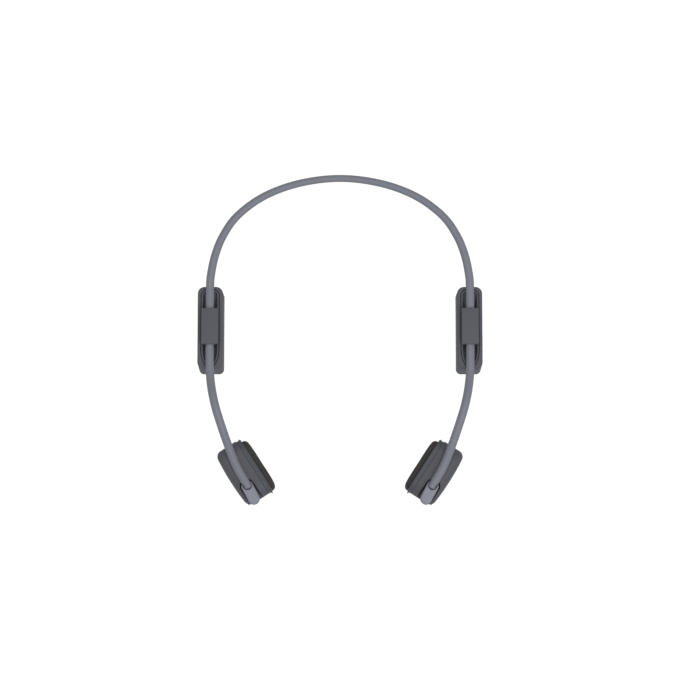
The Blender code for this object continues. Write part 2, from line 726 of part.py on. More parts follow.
# ---------------------------------------------------------------- pods
def make_pod_shell(name, side, parent):
    """The pod's cup: open towards the cheek, crowned outside, with a slot for the knuckle."""
    middle = (POD_MIDDLE_Y, POD_HEIGHT / 2)
    cavity_middle = (POD_MIDDLE_Y, POD_CAVITY_Z)
    rings = [facing_ring(side, x, *POD_CAVITY, cavity_middle) for x in (POD_CAVITY_X, POD_MOUTH_X)]
    levels = [(POD_MOUTH_X, 0.0)]
    edge_x = POD_OUTER_X - POD_CROWN - POD_EDGE
    for step in range(EDGE_STEPS + 1):
        angle = math.pi / 2 * step / EDGE_STEPS
        levels.append((edge_x + POD_EDGE * math.sin(angle), POD_EDGE * (1 - math.cos(angle))))
    levels.append((POD_OUTER_X, POD_EDGE + CROWN_INSET))
    for x, inset in levels:
        size = (POD_LENGTH - 2 * inset, POD_HEIGHT - 2 * inset, max(POD_CORNER - inset, 0.0008))
        rings.append(facing_ring(side, x, *size, middle))
    shell = make_piece(name, loft(rings), parent, HOUSING)
    slot = half_circle(SLOT_MIDDLE_X, 0.0, SLOT_HALF_WIDTH, 0.0)
    front = POD_MIDDLE_Y - POD_LENGTH / 2 - OVERCUT
    slot += [(SLOT_MIDDLE_X - SLOT_HALF_WIDTH, front), (SLOT_MIDDLE_X + SLOT_HALF_WIDTH, front)]
    over = POD_HEIGHT + OVERCUT
    use_tool(shell, plan_plate([(side * x, y) for x, y in slot], SLOT_FLOOR, over))
    bore = ((0, 0, PIN_BOTTOM - GAP), (0, 0, SLOT_FLOOR + OVERCUT))
    use_tool(shell, cylinder(PIN_RADIUS + GAP, *bore))
    return shell


def make_knuckle(name, side, parent):
    """The boss on the band's end: it drops into the pod's slot and turns on the pin."""
    outline = half_circle(*KNUCKLE_BACK, KNUCKLE_HALF_WIDTH, 0.0)
    outline += half_circle(*KNUCKLE_FRONT, KNUCKLE_HALF_WIDTH, math.pi)
    outline = [(side * x, y) for x, y in outline]
    knuckle = make_piece(name, plan_plate(outline, KNUCKLE_BOTTOM, KNUCKLE_TOP), parent, SILICONE)
    round_edges(knuckle, KNUCKLE_EDGE)
    half = SIDE_RADIUS + GAP
    pocket_length = POCKET_MOUTH_Y - POCKET_END_Y
    pocket_middle = (0.0, POCKET_END_Y + pocket_length / 2)
    pocket = rounded_rectangle(2 * half, pocket_length, POCKET_CORNER, middle=pocket_middle)
    floor = POD_BAND_HEIGHT - half
    use_tool(knuckle, plan_plate([(side * x, y) for x, y in pocket], floor, KNUCKLE_TOP + OVERCUT))
    bore = ((0, 0, KNUCKLE_BOTTOM - OVERCUT), (0, 0, PIN_TOP + GAP))
    use_tool(knuckle, cylinder(PIN_RADIUS + GAP, *bore))
    return knuckle


def make_pod_front(ear, side, parent):
    """Rim, gasket and contact pad, from the pod's mouth to the face that meets the cheek."""
    body_middle = (POD_MIDDLE_Y, POD_HEIGHT / 2)
    rim_middle = (RIM_MIDDLE_Y, POD_HEIGHT / 2)
    window_middle = (POD_MIDDLE_Y, POD_CAVITY_Z)
    seat_x = POD_MOUTH_X - GAP
    lip_x = RIM_FACE_X + RIM_STEP
    body = (POD_LENGTH, POD_HEIGHT, POD_CORNER)
    lip = (RIM_LENGTH, POD_HEIGHT, POD_CORNER)
    face = [size - 2 * RIM_CHAMFER for size in lip[:2]] + [POD_CORNER - RIM_CHAMFER]
    rings = [
        facing_ring(side, RIM_FACE_X, *WINDOW, window_middle),
        facing_ring(side, SPIGOT_X, *WINDOW, window_middle),
        facing_ring(side, SPIGOT_X, *SPIGOT, window_middle),
        facing_ring(side, seat_x, *SPIGOT, window_middle),
        facing_ring(side, seat_x, *body, body_middle),
        facing_ring(side, lip_x + RIM_STEP, *body, body_middle),
        facing_ring(side, lip_x, *lip, rim_middle),
        facing_ring(side, RIM_FACE_X, *face, rim_middle),
    ]
    make_piece(f"{ear}_pod_rim", loft_ring(rings), parent, RIM_PLASTIC)
    gasket = [
        facing_ring(side, x, *size, window_middle)
        for x, size in (
            (SPIGOT_X, GASKET_INNER),
            (SPIGOT_X, GASKET_OUTER),
            (seat_x + GASKET_SEAT, GASKET_OUTER),
            (seat_x + GASKET_SEAT, GASKET_INNER),
        )
    ]
    make_piece(f"{ear}_pod_gasket", loft_ring(gasket), parent, SEAL_RUBBER)
    middle = (PAD_MIDDLE_Y, POD_HEIGHT / 2)
    levels = [(RIM_FACE_X - GAP, 0.0)] + [(PAD_FACE_X + depth, inset) for depth, inset in PAD_EDGE]
    pad = []
    for x, inset in levels:
        size = (PAD_LENGTH - 2 * inset, PAD_HEIGHT - 2 * inset, PAD_CORNER - inset)
        pad.append(facing_ring(side, x, *size, middle))
    make_piece(f"{ear}_contact_pad", loft(pad), parent, MESH_PAD)


def make_driver(ear, side, parent):
    """The bone conduction driver: yoke, magnet, coil, suspension plate and drive block."""
    middle = (POD_MIDDLE_Y, POD_CAVITY_Z)
    back = POD_CAVITY_X - GAP
    yoke_floor = back - YOKE_WALL
    yoke = [
        facing_ring(side, x, *size, middle)
        for x, size in (
            (back, YOKE_OUTER),
            (YOKE_MOUTH_X, YOKE_OUTER),
            (YOKE_MOUTH_X, YOKE_INNER),
            (yoke_floor, YOKE_INNER),
        )
    ]
    make_piece(f"{ear}_driver_yoke", loft(yoke), parent, STEEL)
    magnet = facing_block(side, yoke_floor - GAP, MAGNET_FACE_X, *MAGNET_SIZE, middle)
    make_piece(f"{ear}_driver_magnet", magnet, parent, MAGNET_PLATING)
    coil = [
        facing_ring(side, x, *size, middle)
        for x, size in (
            (COIL_BACK_X, COIL_INNER),
            (COIL_BACK_X, COIL_OUTER),
            (COIL_FRONT_X, COIL_OUTER),
            (COIL_FRONT_X, COIL_INNER),
        )
    ]
    make_piece(f"{ear}_driver_coil", loft_ring(coil), parent, COPPER)
    plate_x = COIL_FRONT_X - GAP
    plate = facing_block(side, plate_x - PLATE_THICKNESS, plate_x, *PLATE_SIZE, middle)
    make_piece(f"{ear}_suspension_plate", plate, parent, SPRING_METAL)
    block_x = plate_x - PLATE_THICKNESS - GAP
    block = facing_block(side, RIM_FACE_X + BLOCK_RECESS, block_x, *BLOCK_SIZE, middle)
    make_piece(f"{ear}_drive_block", block, parent, DARK_PLASTIC)


# ---------------------------------------------------------------- assembly
def build_nape():
    root = make_empty("nape", (0.0, MIDDLE_SHIFT_Y, 0.0))
    reach = HINGE_AT - HINGE_HALF_GAP
    make_jacket("nape_band_jacket", nape_run(reach, Vector()), root)
    make_wire("nape_spring_wire", nape_run(reach, Vector(), WIRE_RADIUS), root)
    return root


def build_controls(side, module):
    for key, (y, _) in BUTTONS.items():
        travel = make_empty(f"{key}_travel", (0.0, y, BUTTON_HEIGHT), 0.0, module)
        make_button(key, side, travel)
    hinge_y = MODULE_LENGTH / 2 - FLAP_THICKNESS / 2
    hinge = make_empty("flap_hinge", (side * PORT_X, hinge_y, FLAP_HINGE_HEIGHT), 0.0, module)
    make_port_flap(side, hinge)


def build_arm(ear, side, root):
    """One side of the neckband, from its flexing shoulder to its knuckle, with its module."""
    shoulder = band_point(HINGE_AT, side)
    arm = make_empty(f"{ear}_shoulder", shoulder, 0.0, root)
    start = HINGE_AT + HINGE_HALF_GAP
    make_jacket(f"{ear}_band_jacket", band_run(start, BAND_END, side, shoulder), arm)
    wire = band_run(start, BAND_END - 0.001, side, shoulder, WIRE_RADIUS)
    make_wire(f"{ear}_spring_wire", wire, arm)
    module = make_empty(f"{ear}_module", Vector((side * MODULE_X, MODULE_Y, 0.0)) - shoulder, 0.0, arm)
    shell = make_module_shell(f"{ear}_module_shell", module)
    make_module_cover(f"{ear}_module_cover", module)
    make_band_clamp(f"{ear}_band_clamp", module)
    for place, y in (("front", -SCREW_Y), ("rear", SCREW_Y)):
        make_cover_screw(f"{ear}_cover_screw_{place}", y, module)
    if ear == "left":
        make_left_contents(side, module)
    else:
        cut_control_openings(side, shell)
        make_right_contents(side, module)
        build_controls(side, module)
    pivot = Vector((side * POD_PIVOT[0], POD_PIVOT[1], 0.0))
    knuckle_frame = make_empty(f"{ear}_knuckle_frame", pivot - shoulder, -side * POD_TURN, arm)
    make_knuckle(f"{ear}_knuckle", side, knuckle_frame)
    pin = cylinder(PIN_RADIUS, (0, 0, PIN_BOTTOM), (0, 0, PIN_TOP), 12)
    make_piece(f"{ear}_swivel_pin", pin, knuckle_frame, STEEL)
    pod = make_empty(f"{ear}_pod_swivel", pivot - shoulder, -side * POD_TURN, arm)
    make_pod_shell(f"{ear}_pod_shell", side, pod)
    make_pod_front(ear, side, pod)
    make_driver(ear, side, pod)


NAPE = build_nape()
for ear_name, ear_side in SIDES.items():
    build_arm(ear_name, ear_side, NAPE)
bpy.context.view_layer.update()
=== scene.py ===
# %% [markdown]
# # Bone conduction headphones
#
# A headset with one soft, sprung band. Its arc goes behind the head, a module sits behind each
# ear, and a pod presses on each cheekbone. The solids that move and collide come from the packed
# frame. This script gives each of them its skin: smoother shapes, small details and finishes.
# Shapes are drawn in millimetres and are placed in the frame, in metres, as the last step.

# %% Load the frame
from math import acos, cos, hypot, pi, radians, sin

import bmesh
import bpy
from mathutils import Matrix, Vector


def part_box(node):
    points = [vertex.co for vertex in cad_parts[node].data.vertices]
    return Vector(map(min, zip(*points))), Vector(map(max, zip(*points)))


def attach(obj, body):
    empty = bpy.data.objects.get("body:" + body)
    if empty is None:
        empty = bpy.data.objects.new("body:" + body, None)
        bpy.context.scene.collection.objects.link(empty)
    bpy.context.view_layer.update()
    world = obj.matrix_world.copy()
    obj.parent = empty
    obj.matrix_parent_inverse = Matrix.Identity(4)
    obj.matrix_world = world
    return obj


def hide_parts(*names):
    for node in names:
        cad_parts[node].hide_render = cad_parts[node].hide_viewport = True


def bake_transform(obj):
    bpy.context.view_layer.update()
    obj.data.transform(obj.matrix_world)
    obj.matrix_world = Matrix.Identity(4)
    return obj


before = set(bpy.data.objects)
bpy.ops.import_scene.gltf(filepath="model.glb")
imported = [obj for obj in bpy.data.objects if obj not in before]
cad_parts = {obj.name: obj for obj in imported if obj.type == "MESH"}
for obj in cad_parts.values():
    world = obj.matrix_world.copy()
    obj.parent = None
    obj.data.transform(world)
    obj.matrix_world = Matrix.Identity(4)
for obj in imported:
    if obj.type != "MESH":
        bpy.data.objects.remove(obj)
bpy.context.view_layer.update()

# %% [markdown]
# ## Node helpers
#
# Shader groups and Geometry Nodes trees are both lists of nodes with links between them. One
# helper that makes a node, fills its sockets and gives its output keeps every tree short to read.
# A value that is itself a socket is linked, and any other value is set on the socket.

# %% Node helpers
def add_node(tree, kind, sockets=None, output=0, **settings):
    """Makes a node and gives one output; sockets maps its inputs to values, sockets or lists."""
    node = tree.nodes.new(kind)
    for key, value in settings.items():
        setattr(node, key, value)
    for key, value in (sockets or {}).items():
        for item in value if isinstance(value, list) else [value]:
            if isinstance(item, bpy.types.NodeSocket):
                tree.links.new(item, node.inputs[key])
            else:
                node.inputs[key].default_value = item
    return node.outputs[output]


def calculate(tree, operation, first, second=0.0):
    """One Math node's result."""
    return add_node(tree, "ShaderNodeMath", {0: first, 1: second}, operation=operation)


def times(tree, first, second):
    return calculate(tree, "MULTIPLY", first, second)


def plus(tree, first, second):
    return calculate(tree, "ADD", first, second)


def scaled(tree, vector, factor):
    return add_node(tree, "ShaderNodeVectorMath", {0: vector, "Scale": factor}, operation="SCALE")


def socket_kind(value):
    """The socket type that holds a value; a text is a type's own name."""
    if isinstance(value, tuple):
        return "Vector" if len(value) == 3 else "Color"
    return value if isinstance(value, str) else "Int" if isinstance(value, int) else "Float"


def new_group(name, kind, inputs, outputs):
    """An empty node group; inputs and outputs map a socket's name to its value or its type."""
    group = bpy.data.node_groups.new(name, kind)
    for way, sockets in (("OUTPUT", outputs), ("INPUT", inputs)):
        for label, value in sockets.items():
            socket_type = "NodeSocket" + socket_kind(value)
            socket = group.interface.new_socket(label, in_out=way, socket_type=socket_type)
            if not isinstance(value, str):
                socket.default_value = value
    return group, group.nodes.new("NodeGroupInput").outputs, group.nodes.new("NodeGroupOutput").inputs

# %% [markdown]
# ## Studio
#
# The headset stands on a plain pale floor. A large soft key light hangs a little to the right
# and in front, and a pale world fills the rest, so that shadows stay faint. The floor could be
# a curved sweep, but a wide disc under a pale world has no visible edge from any side. A floor
# bright enough to look white would also light the walls from below, so floor and world are
# brighter where they are seen than where they light the headset.
# The camera looks down steeply from the front with a long lens.

# %% Camera
MM = 0.001
CAMERA_ELEVATION = radians(82)
CAMERA_DISTANCE = 1.3
AIM = Vector((0, 0, 0.016))
LENS = 137.65


def put_in_scene(name, data):
    thing = bpy.data.objects.new(name, data)
    bpy.context.scene.collection.objects.link(thing)
    return thing


camera = put_in_scene("studio_camera", bpy.data.cameras.new("studio_camera"))
camera.data.lens = LENS
camera.data.clip_start = 0.01
back = Vector((0, -cos(CAMERA_ELEVATION), sin(CAMERA_ELEVATION)))
camera.location = AIM + CAMERA_DISTANCE * back
camera.rotation_euler = (-back).to_track_quat("-Z", "Y").to_euler()
bpy.context.scene.camera = camera
print("camera at", [round(c, 3) for c in camera.location])

# %% Colours and lights
WHITE = (1, 1, 1, 1)
WORLD_GLOW, SHOWN_GLOW = 0.42, 1.0


def paint(red, green, blue):
    """A colour from its 0 to 255 display values, as the linear colour that a shader takes."""
    shares = [value / 255 for value in (red, green, blue)]
    return (*[s / 12.92 if s <= 0.04045 else ((s + 0.055) / 1.055) ** 2.4 for s in shares], 1.0)


def soft_light(name, place, size, watts):
    """A square area light that faces the headset."""
    lamp = bpy.data.lights.new(name, "AREA")
    lamp.size, lamp.energy = size, watts
    light = put_in_scene(name, lamp)
    light.location = place
    light.rotation_euler = (AIM - light.location).to_track_quat("-Z", "Y").to_euler()


def glow(tree, given, shown, strength):
    """Feeds a strength that lights the headset with one value and shows as another."""
    seen = add_node(tree, "ShaderNodeLightPath", output="Is Camera Ray")
    spread = {"Value": seen, "To Min": given, "To Max": shown}
    tree.links.new(add_node(tree, "ShaderNodeMapRange", spread), strength)


soft_light("key_light", (0.45, -0.7, 1.25), 0.9, 6.4)
soft_light("top_light", (0.0, 0.1, 1.6), 1.2, 5.0)
world = bpy.data.worlds.new("studio_world")
world.use_nodes = True
sky = world.node_tree.nodes["Background"].inputs
sky["Color"].default_value = WHITE
glow(world.node_tree, WORLD_GLOW, SHOWN_GLOW, sky["Strength"])
bpy.context.scene.world = world
bpy.context.scene.view_settings.view_transform = "Standard"
print("lights:", [light.name for light in bpy.data.lights])

# %% Floor
FLOOR_RADIUS, FLOOR_Z = 4.0, -0.0002
FLOOR_TONE = (0.12, 0.12, 0.12, 1)
FLOOR_GLOW, SHOWN_FLOOR_GLOW = 0.45, 0.97


def new_material(name):
    """A new material and its shader."""
    material = bpy.data.materials.new(name)
    material.use_nodes = True
    return material, material.node_tree.nodes["Principled BSDF"]


def set_inputs(node, values):
    for key, value in values.items():
        node.inputs[key].default_value = value


sheet = bmesh.new()
bmesh.ops.create_circle(sheet, cap_ends=True, segments=96, radius=FLOOR_RADIUS)
floor_mesh = bpy.data.meshes.new("studio_floor")
sheet.to_mesh(floor_mesh)
sheet.free()
floor = put_in_scene("studio_floor", floor_mesh)
floor.location.z = FLOOR_Z
floor_paper, floor_shader = new_material("floor_paper")
set_inputs(floor_shader, {"Base Color": FLOOR_TONE, "Emission Color": WHITE})
set_inputs(floor_shader, {"Roughness": 1.0, "Specular IOR Level": 0.0})
glow(floor_paper.node_tree, FLOOR_GLOW, SHOWN_FLOOR_GLOW, floor_shader.inputs["Emission Strength"])
floor_mesh.materials.append(floor_paper)
print("floor radius, m:", FLOOR_RADIUS)

# %% [markdown]
# ## Shared effects
#
# The band, housings, rims and pads are all moulded or woven, so they share a few effects. Each
# is a group with its own numbers in each material. `moulded_grain` is the fine spark-eroded
# grain of a mould: tiny bumps, and slow cloudy changes of tone and gloss. `brushed_metal` draws
# the grain out in one direction. `woven_mesh` follows the pad's own unrolled map, because a
# weave has to bend over the pad's edge with the fabric. A picture of a fabric would work too,
# but it would have one fixed scale.

# %% Moulded grain
GREY = (0.5, 0.5, 0.5, 1)
EFFECT_OUTPUTS = {"Colour": "Color", "Roughness": "Float", "Normal": "Vector"}
FINE_SHARE, SLOW_SHARE, SLOW_SCALE = 0.4, 0.6, 0.03
GRAIN_HEIGHT = 0.00003


def noise(tree, where, scale, detail):
    sockets = {"Vector": where, "Scale": scale, "Detail": detail}
    return add_node(tree, "ShaderNodeTexNoise", sockets, "Fac")


def end_effect(group, result, values, height, strength, distance):
    """Links an effect's outputs; a bump of the height makes its normals."""
    bump = {"Strength": strength, "Distance": distance, "Height": height}
    for label, value in {**values, "Normal": add_node(group, "ShaderNodeBump", bump)}.items():
        group.links.new(value, result[label])
    return group


def make_moulded_grain():
    sizes = {
        "Vector": "Vector", "Colour": GREY, "Grains per metre": 4000.0, "Grain Depth": 0.3,
        "Cloud": 0.08, "Roughness": 0.5, "Gloss Spread": 0.1,
    }
    group, given, result = new_group("moulded_grain", "ShaderNodeTree", sizes, EFFECT_OUTPUTS)
    grains = given["Grains per metre"]
    fine = noise(group, given["Vector"], grains, 2.0)
    slow = noise(group, given["Vector"], times(group, grains, SLOW_SCALE), 3.0)
    both = plus(group, times(group, fine, FINE_SHARE), times(group, slow, SLOW_SHARE))
    swing = calculate(group, "SUBTRACT", both, 0.5)
    tone = plus(group, times(group, swing, given["Cloud"]), 0.5)
    colour = scaled(group, given["Colour"], times(group, tone, 2.0))
    rough = plus(group, times(group, swing, given["Gloss Spread"]), given["Roughness"])
    values = {"Colour": colour, "Roughness": rough}
    return end_effect(group, result, values, fine, given["Grain Depth"], GRAIN_HEIGHT)

# %% Brushed metal
DRAWN = (300.0, 9000.0, 9000.0)
LINE_HEIGHT = 0.00002
LINE_SWING, DARKEST_LINE = 0.3, 0.85


def make_brushed_metal():
    sizes = {"Vector": "Vector", "Colour": GREY, "Stretch": DRAWN, "Depth": 0.2, "Roughness": 0.3}
    group, given, result = new_group("brushed_metal", "ShaderNodeTree", sizes, EFFECT_OUTPUTS)
    factors = {0: given["Vector"], 1: given["Stretch"]}
    drawn = add_node(group, "ShaderNodeVectorMath", factors, operation="MULTIPLY")
    lines = noise(group, drawn, 1.0, 2.0)
    tone = plus(group, times(group, lines, LINE_SWING), DARKEST_LINE)
    values = {
        "Colour": scaled(group, given["Colour"], tone),
        "Roughness": times(group, plus(group, lines, 0.5), given["Roughness"]),
    }
    return end_effect(group, result, values, lines, given["Depth"], LINE_HEIGHT)

# %% Woven mesh
FIBRES_PER_MM, FIBRE_SHARE = 9.0, 0.4
FLECKS_FROM, FLECKS_TO = 0.45, 0.7
THREAD_FLATNESS, THREAD_STRENGTH, THREAD_HEIGHT = 0.6, 0.6, 0.00008


def crossed_waves(tree, spot, pitch):
    """The over and under of a plain weave, on a map in the pitch's unit."""
    apart = add_node(tree, "ShaderNodeSeparateXYZ", {0: spot}).node.outputs
    turns = [calculate(tree, "DIVIDE", times(tree, apart[i], pi), pitch) for i in (0, 1)]
    return times(tree, *[calculate(tree, "SINE", turn) for turn in turns])


def mixed(tree, factor, first, second):
    sockets = {"Factor": factor, 6: first, 7: second}
    return add_node(tree, "ShaderNodeMix", sockets, 2, data_type="RGBA")


def make_woven_mesh():
    """Crossing threads on a map in millimetres: light thread crowns, dark holes between them."""
    sizes = {
        "Map": "Vector", "Pitch": 0.7, "Thread Colour": GREY, "Hole Colour": GREY,
        "Fleck Colour": GREY,
    }
    outputs = {"Colour": "Color", "Normal": "Vector"}
    group, given, result = new_group("woven_mesh", "ShaderNodeTree", sizes, outputs)
    wave = crossed_waves(group, given["Map"], given["Pitch"])
    crown = calculate(group, "POWER", calculate(group, "ABSOLUTE", wave), THREAD_FLATNESS)
    fibre = noise(group, given["Map"], FIBRES_PER_MM, 2.0)
    range_of_flecks = {"Value": fibre, "From Min": FLECKS_FROM, "From Max": FLECKS_TO}
    fleck = add_node(group, "ShaderNodeMapRange", range_of_flecks)
    thread = mixed(group, fleck, given["Thread Colour"], given["Fleck Colour"])
    values = {"Colour": mixed(group, crown, given["Hole Colour"], thread)}
    height = plus(group, crown, times(group, fibre, FIBRE_SHARE))
    return end_effect(group, result, values, height, THREAD_STRENGTH, THREAD_HEIGHT)


MOULDED_GRAIN, BRUSHED_METAL, WOVEN_MESH = make_moulded_grain(), make_brushed_metal(), make_woven_mesh()
print("shader groups:", [group.name for group in bpy.data.node_groups])

# %% Material makers
GLOSS_SPREAD = 0.15


def start_material(name, group, values, fixed, coordinates="Object"):
    """A material whose group feeds colour, roughness and normal; fixed values sit on the shader."""
    material, shader = new_material(name)
    tree = material.node_tree
    effect = tree.nodes.new("ShaderNodeGroup")
    effect.node_tree = group
    tree.links.new(add_node(tree, "ShaderNodeTexCoord", output=coordinates), effect.inputs[0])
    set_inputs(effect, values)
    for output, socket in zip(EFFECT_OUTPUTS, ("Base Color", "Roughness", "Normal")):
        if output in effect.outputs:
            tree.links.new(effect.outputs[output], shader.inputs[socket])
    set_inputs(shader, fixed)
    return material


def moulded(name, colour, roughness, grains, depth, cloud, fixed=None):
    values = {
        "Colour": colour, "Roughness": roughness, "Grains per metre": grains,
        "Grain Depth": depth, "Cloud": cloud, "Gloss Spread": GLOSS_SPREAD,
    }
    return start_material(name, MOULDED_GRAIN, values, fixed or {})


def metal(name, colour, roughness, stretch, depth):
    values = {"Colour": colour, "Roughness": roughness, "Stretch": stretch, "Depth": depth}
    return start_material(name, BRUSHED_METAL, values, {"Metallic": 1.0})

# %% [markdown]
# ## Finishes
#
# The band and its knuckles are one pale blue-grey silicone with a soft, dry surface; the
# knuckles' copy is painted lighter, a painted highlight for the stronger light at the front.
# Housings are a darker grey moulded plastic with a fine grain, and the rims are a little
# glossier. The pads wear a brown-black woven mesh. The pieces inside get the finishes that such
# parts have: tinned steel, copper winding, green board and silver foil.

# %% Finishes
MOULDED = {  # colour, roughness, grains per metre, grain depth, cloud, the shader's own values
    "band_silicone": (paint(131, 134, 145), 0.55, 5200.0, 0.22, 0.07, {"Sheen Weight": 0.06}),
    # knuckle_silicone: the band's silicone painted lighter, a painted highlight for the stronger light at the
    # front
    "knuckle_silicone": (paint(143, 146, 158), 0.55, 5200.0, 0.22, 0.07, {"Sheen Weight": 0.06}),
    "housing_plastic": (paint(92, 95, 101), 0.55, 4200.0, 0.4, 0.12, {"Specular IOR Level": 0.3}),
    "rim_plastic": (paint(89, 92, 97), 0.5, 4200.0, 0.3, 0.1, {"Specular IOR Level": 0.3}),
    "seal_rubber": (paint(52, 53, 56), 0.75, 3600.0, 0.4, 0.12),
    "dark_plastic": (paint(40, 41, 44), 0.45, 5200.0, 0.3, 0.12),
    "board_green": (paint(26, 78, 54), 0.35, 1400.0, 0.3, 0.35),
    "light_pipe": (paint(206, 212, 220), 0.2, 2400.0, 0.1, 0.06, {"Transmission Weight": 0.5}),
}
METALS = {  # colour, roughness, grain's stretch, grain's depth
    "spring_metal": (paint(176, 174, 170), 0.34, DRAWN, 0.2),
    "steel": (paint(158, 160, 164), 0.32, (9000.0, 9000.0, 300.0), 0.2),
    "magnet_plating": (paint(186, 186, 190), 0.2, DRAWN, 0.08),
    "coil_copper": (paint(190, 112, 64), 0.36, (9000.0, 300.0, 300.0), 0.6),
    "cell_foil": (paint(180, 183, 190), 0.4, (1500.0, 1500.0, 1500.0), 0.3),
}
WEAVE_PITCH = 0.7
WEAVE = {
    "Pitch": WEAVE_PITCH, "Thread Colour": paint(76, 74, 72), "Hole Colour": paint(30, 28, 27),
    "Fleck Colour": paint(90, 84, 76),
}
FINISH = {name: moulded(name, *values) for name, values in MOULDED.items()}
FINISH.update({name: metal(name, *values) for name, values in METALS.items()})
WEAVE_SHADE = {"Roughness": 0.9, "Sheen Weight": 0.04}
FINISH["mesh_pad"] = start_material("mesh_pad", WOVEN_MESH, WEAVE, WEAVE_SHADE, "UV")
print(len(FINISH), "finishes")

# %% Finish the pieces that keep their shape
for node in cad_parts.values():
    materials = node.data.materials
    finish = materials[0].name.split(".")[0] if materials else ""
    materials.clear()
    materials.append(FINISH.get(finish, FINISH["dark_plastic"]))
print(len(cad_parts), "solids have a finish")

# %% [markdown]
# ## Drawing tools
#
# Most of the headset's shells are rounded boxes. Each is a loft: closed outlines with equal
# numbers of points, joined by rings of four-sided faces. A scaled cube with a bevel would be
# quicker, but a loft keeps the points where the shape turns, and lets a rounded rectangle change
# into the boat shape round the band. Shapes are drawn for one ear, with x outwards, y to the
# rear and z up, in millimetres. A matrix places and mirrors them for each ear.

# %% Places
SIDE_OF = {"right": -1, "left": 1}
POD_TURN = radians(32.8)


def middle_of(node):
    low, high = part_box(node)
    return (low + high) / 2


def place_matrix(middle, side=1, turn=0.0):
    scale = Matrix.Diagonal((side * MM, MM, MM, 1.0))
    return Matrix.Translation((middle.x, middle.y, 0)) @ Matrix.Rotation(turn, 4, "Z") @ scale


MODULE_PLACE, POD_PLACE = {}, {}
for ear, side in SIDE_OF.items():
    MODULE_PLACE[ear] = place_matrix(middle_of(f"{ear}_module_cover"), side)
    POD_PLACE[ear] = place_matrix(middle_of(f"{ear}_swivel_pin"), side, -side * POD_TURN)
    print(ear, "pin at, mm:", [round(1000 * c, 2) for c in POD_PLACE[ear].translation])

# %% Outlines
SIDE_STEPS = 16
CORNER_STEPS = 12
END_STEPS = 4


def arc(steps, last=pi / 2):
    return [last * step / steps for step in range(steps + 1)]


def half_circle(middle, radius, start=0.0, steps=24):
    turns = [start + angle for angle in arc(steps, pi)]
    return [(middle[0] + radius * cos(a), middle[1] + radius * sin(a)) for a in turns]


def quarter(width, length, corner):
    """From the middle of a side to the middle of an end, along a rounded rectangle's edge."""
    straight = length / 2 - corner
    run = [(width / 2, straight * i / SIDE_STEPS) for i in range(SIDE_STEPS)]
    for angle in arc(CORNER_STEPS):
        across = width / 2 - corner + corner * cos(angle)
        run.append((across, straight + corner * sin(angle)))
    run += [((width / 2 - corner) * (1 - i / END_STEPS), length / 2) for i in range(1, END_STEPS + 1)]
    return run


def shrunk(size, inset, smallest=0.0):
    """A rounded rectangle's width, length and corner, inset all round."""
    return size[0] - 2 * inset, size[1] - 2 * inset, max(size[2] - inset, smallest)


def whole(rear, front):
    """A closed outline from its rear quarter and its front quarter, mirrored in x."""
    front = [(x, -y) for x, y in front]
    half = front[:0:-1] + rear
    return half + [(-x, y) for x, y in half[-2:0:-1]]


def rectangle(width, length, corner, middle=(0, 0)):
    part = quarter(width, length, corner)
    return [(x + middle[0], y + middle[1]) for x, y in whole(part, part)]

# %% Mesh tools
AXES = {"X": Vector((1, 0, 0)), "Y": Vector((0, 1, 0)), "Z": Vector((0, 0, 1))}


def mesh_from(shape):
    bmesh.ops.recalc_face_normals(shape, faces=shape.faces)
    mesh = bpy.data.meshes.new("drawn")
    shape.to_mesh(mesh)
    shape.free()
    return mesh


def loft(rings, closed=False):
    """Skins rings of points. The ends are capped, or the last ring joins the first if closed."""
    shape = bmesh.new()
    loops = [[shape.verts.new(point) for point in ring] for ring in rings]
    following = loops[1:] + (loops[:1] if closed else [])
    for near, far in zip(loops, following):
        for i in range(len(near)):
            j = (i + 1) % len(near)
            shape.faces.new((near[i], near[j], far[j], far[i]))
    if not closed:
        shape.faces.new(loops[0])
        shape.faces.new(loops[-1])
    return mesh_from(shape)


def upright(outline, z):
    """An outline of (x, y) pairs at a height."""
    return [(x, y, z) for x, y in outline]


def facing(outline, x):
    """An outline of (height, length) pairs in a side wall's plane."""
    return [(x, y, z) for z, y in outline]


def standing(outline, y):
    """An outline of (x, height) pairs in an end wall's plane."""
    return [(x, y, z) for x, z in outline]


def aim(mesh, axis, at):
    """Turns a mesh that was drawn along Z to another axis and puts it in its place."""
    mesh.transform(AXES["Z"].rotation_difference(AXES[axis]).to_matrix().to_4x4())
    mesh.transform(Matrix.Translation(at))
    return mesh


def turned(profile, sides=32, axis="Z", at=(0, 0, 0), closed=False):
    """A shape turned about an axis from (radius, height) pairs."""
    turns = arc(sides, 2 * pi)[:-1]
    rings = [[(r * cos(a), r * sin(a), h) for a in turns] for r, h in profile]
    return aim(loft(rings, closed), axis, at)


def rounded(level, radius, steps):
    """(level, inset) pairs that turn a straight wall over an edge up to a level."""
    return [(level - radius * (1 - sin(a)), radius * (1 - cos(a))) for a in arc(steps)]

# %% Workbench
def bench(mesh):
    """A mesh put in the scene for as long as its modifiers take."""
    return put_in_scene("bench", mesh)


def flatten(holder):
    """The mesh that an object's modifiers make; the object is removed."""
    graph = bpy.context.evaluated_depsgraph_get()
    mesh = bpy.data.meshes.new_from_object(holder.evaluated_get(graph))
    bpy.data.objects.remove(holder, do_unlink=True)
    return mesh


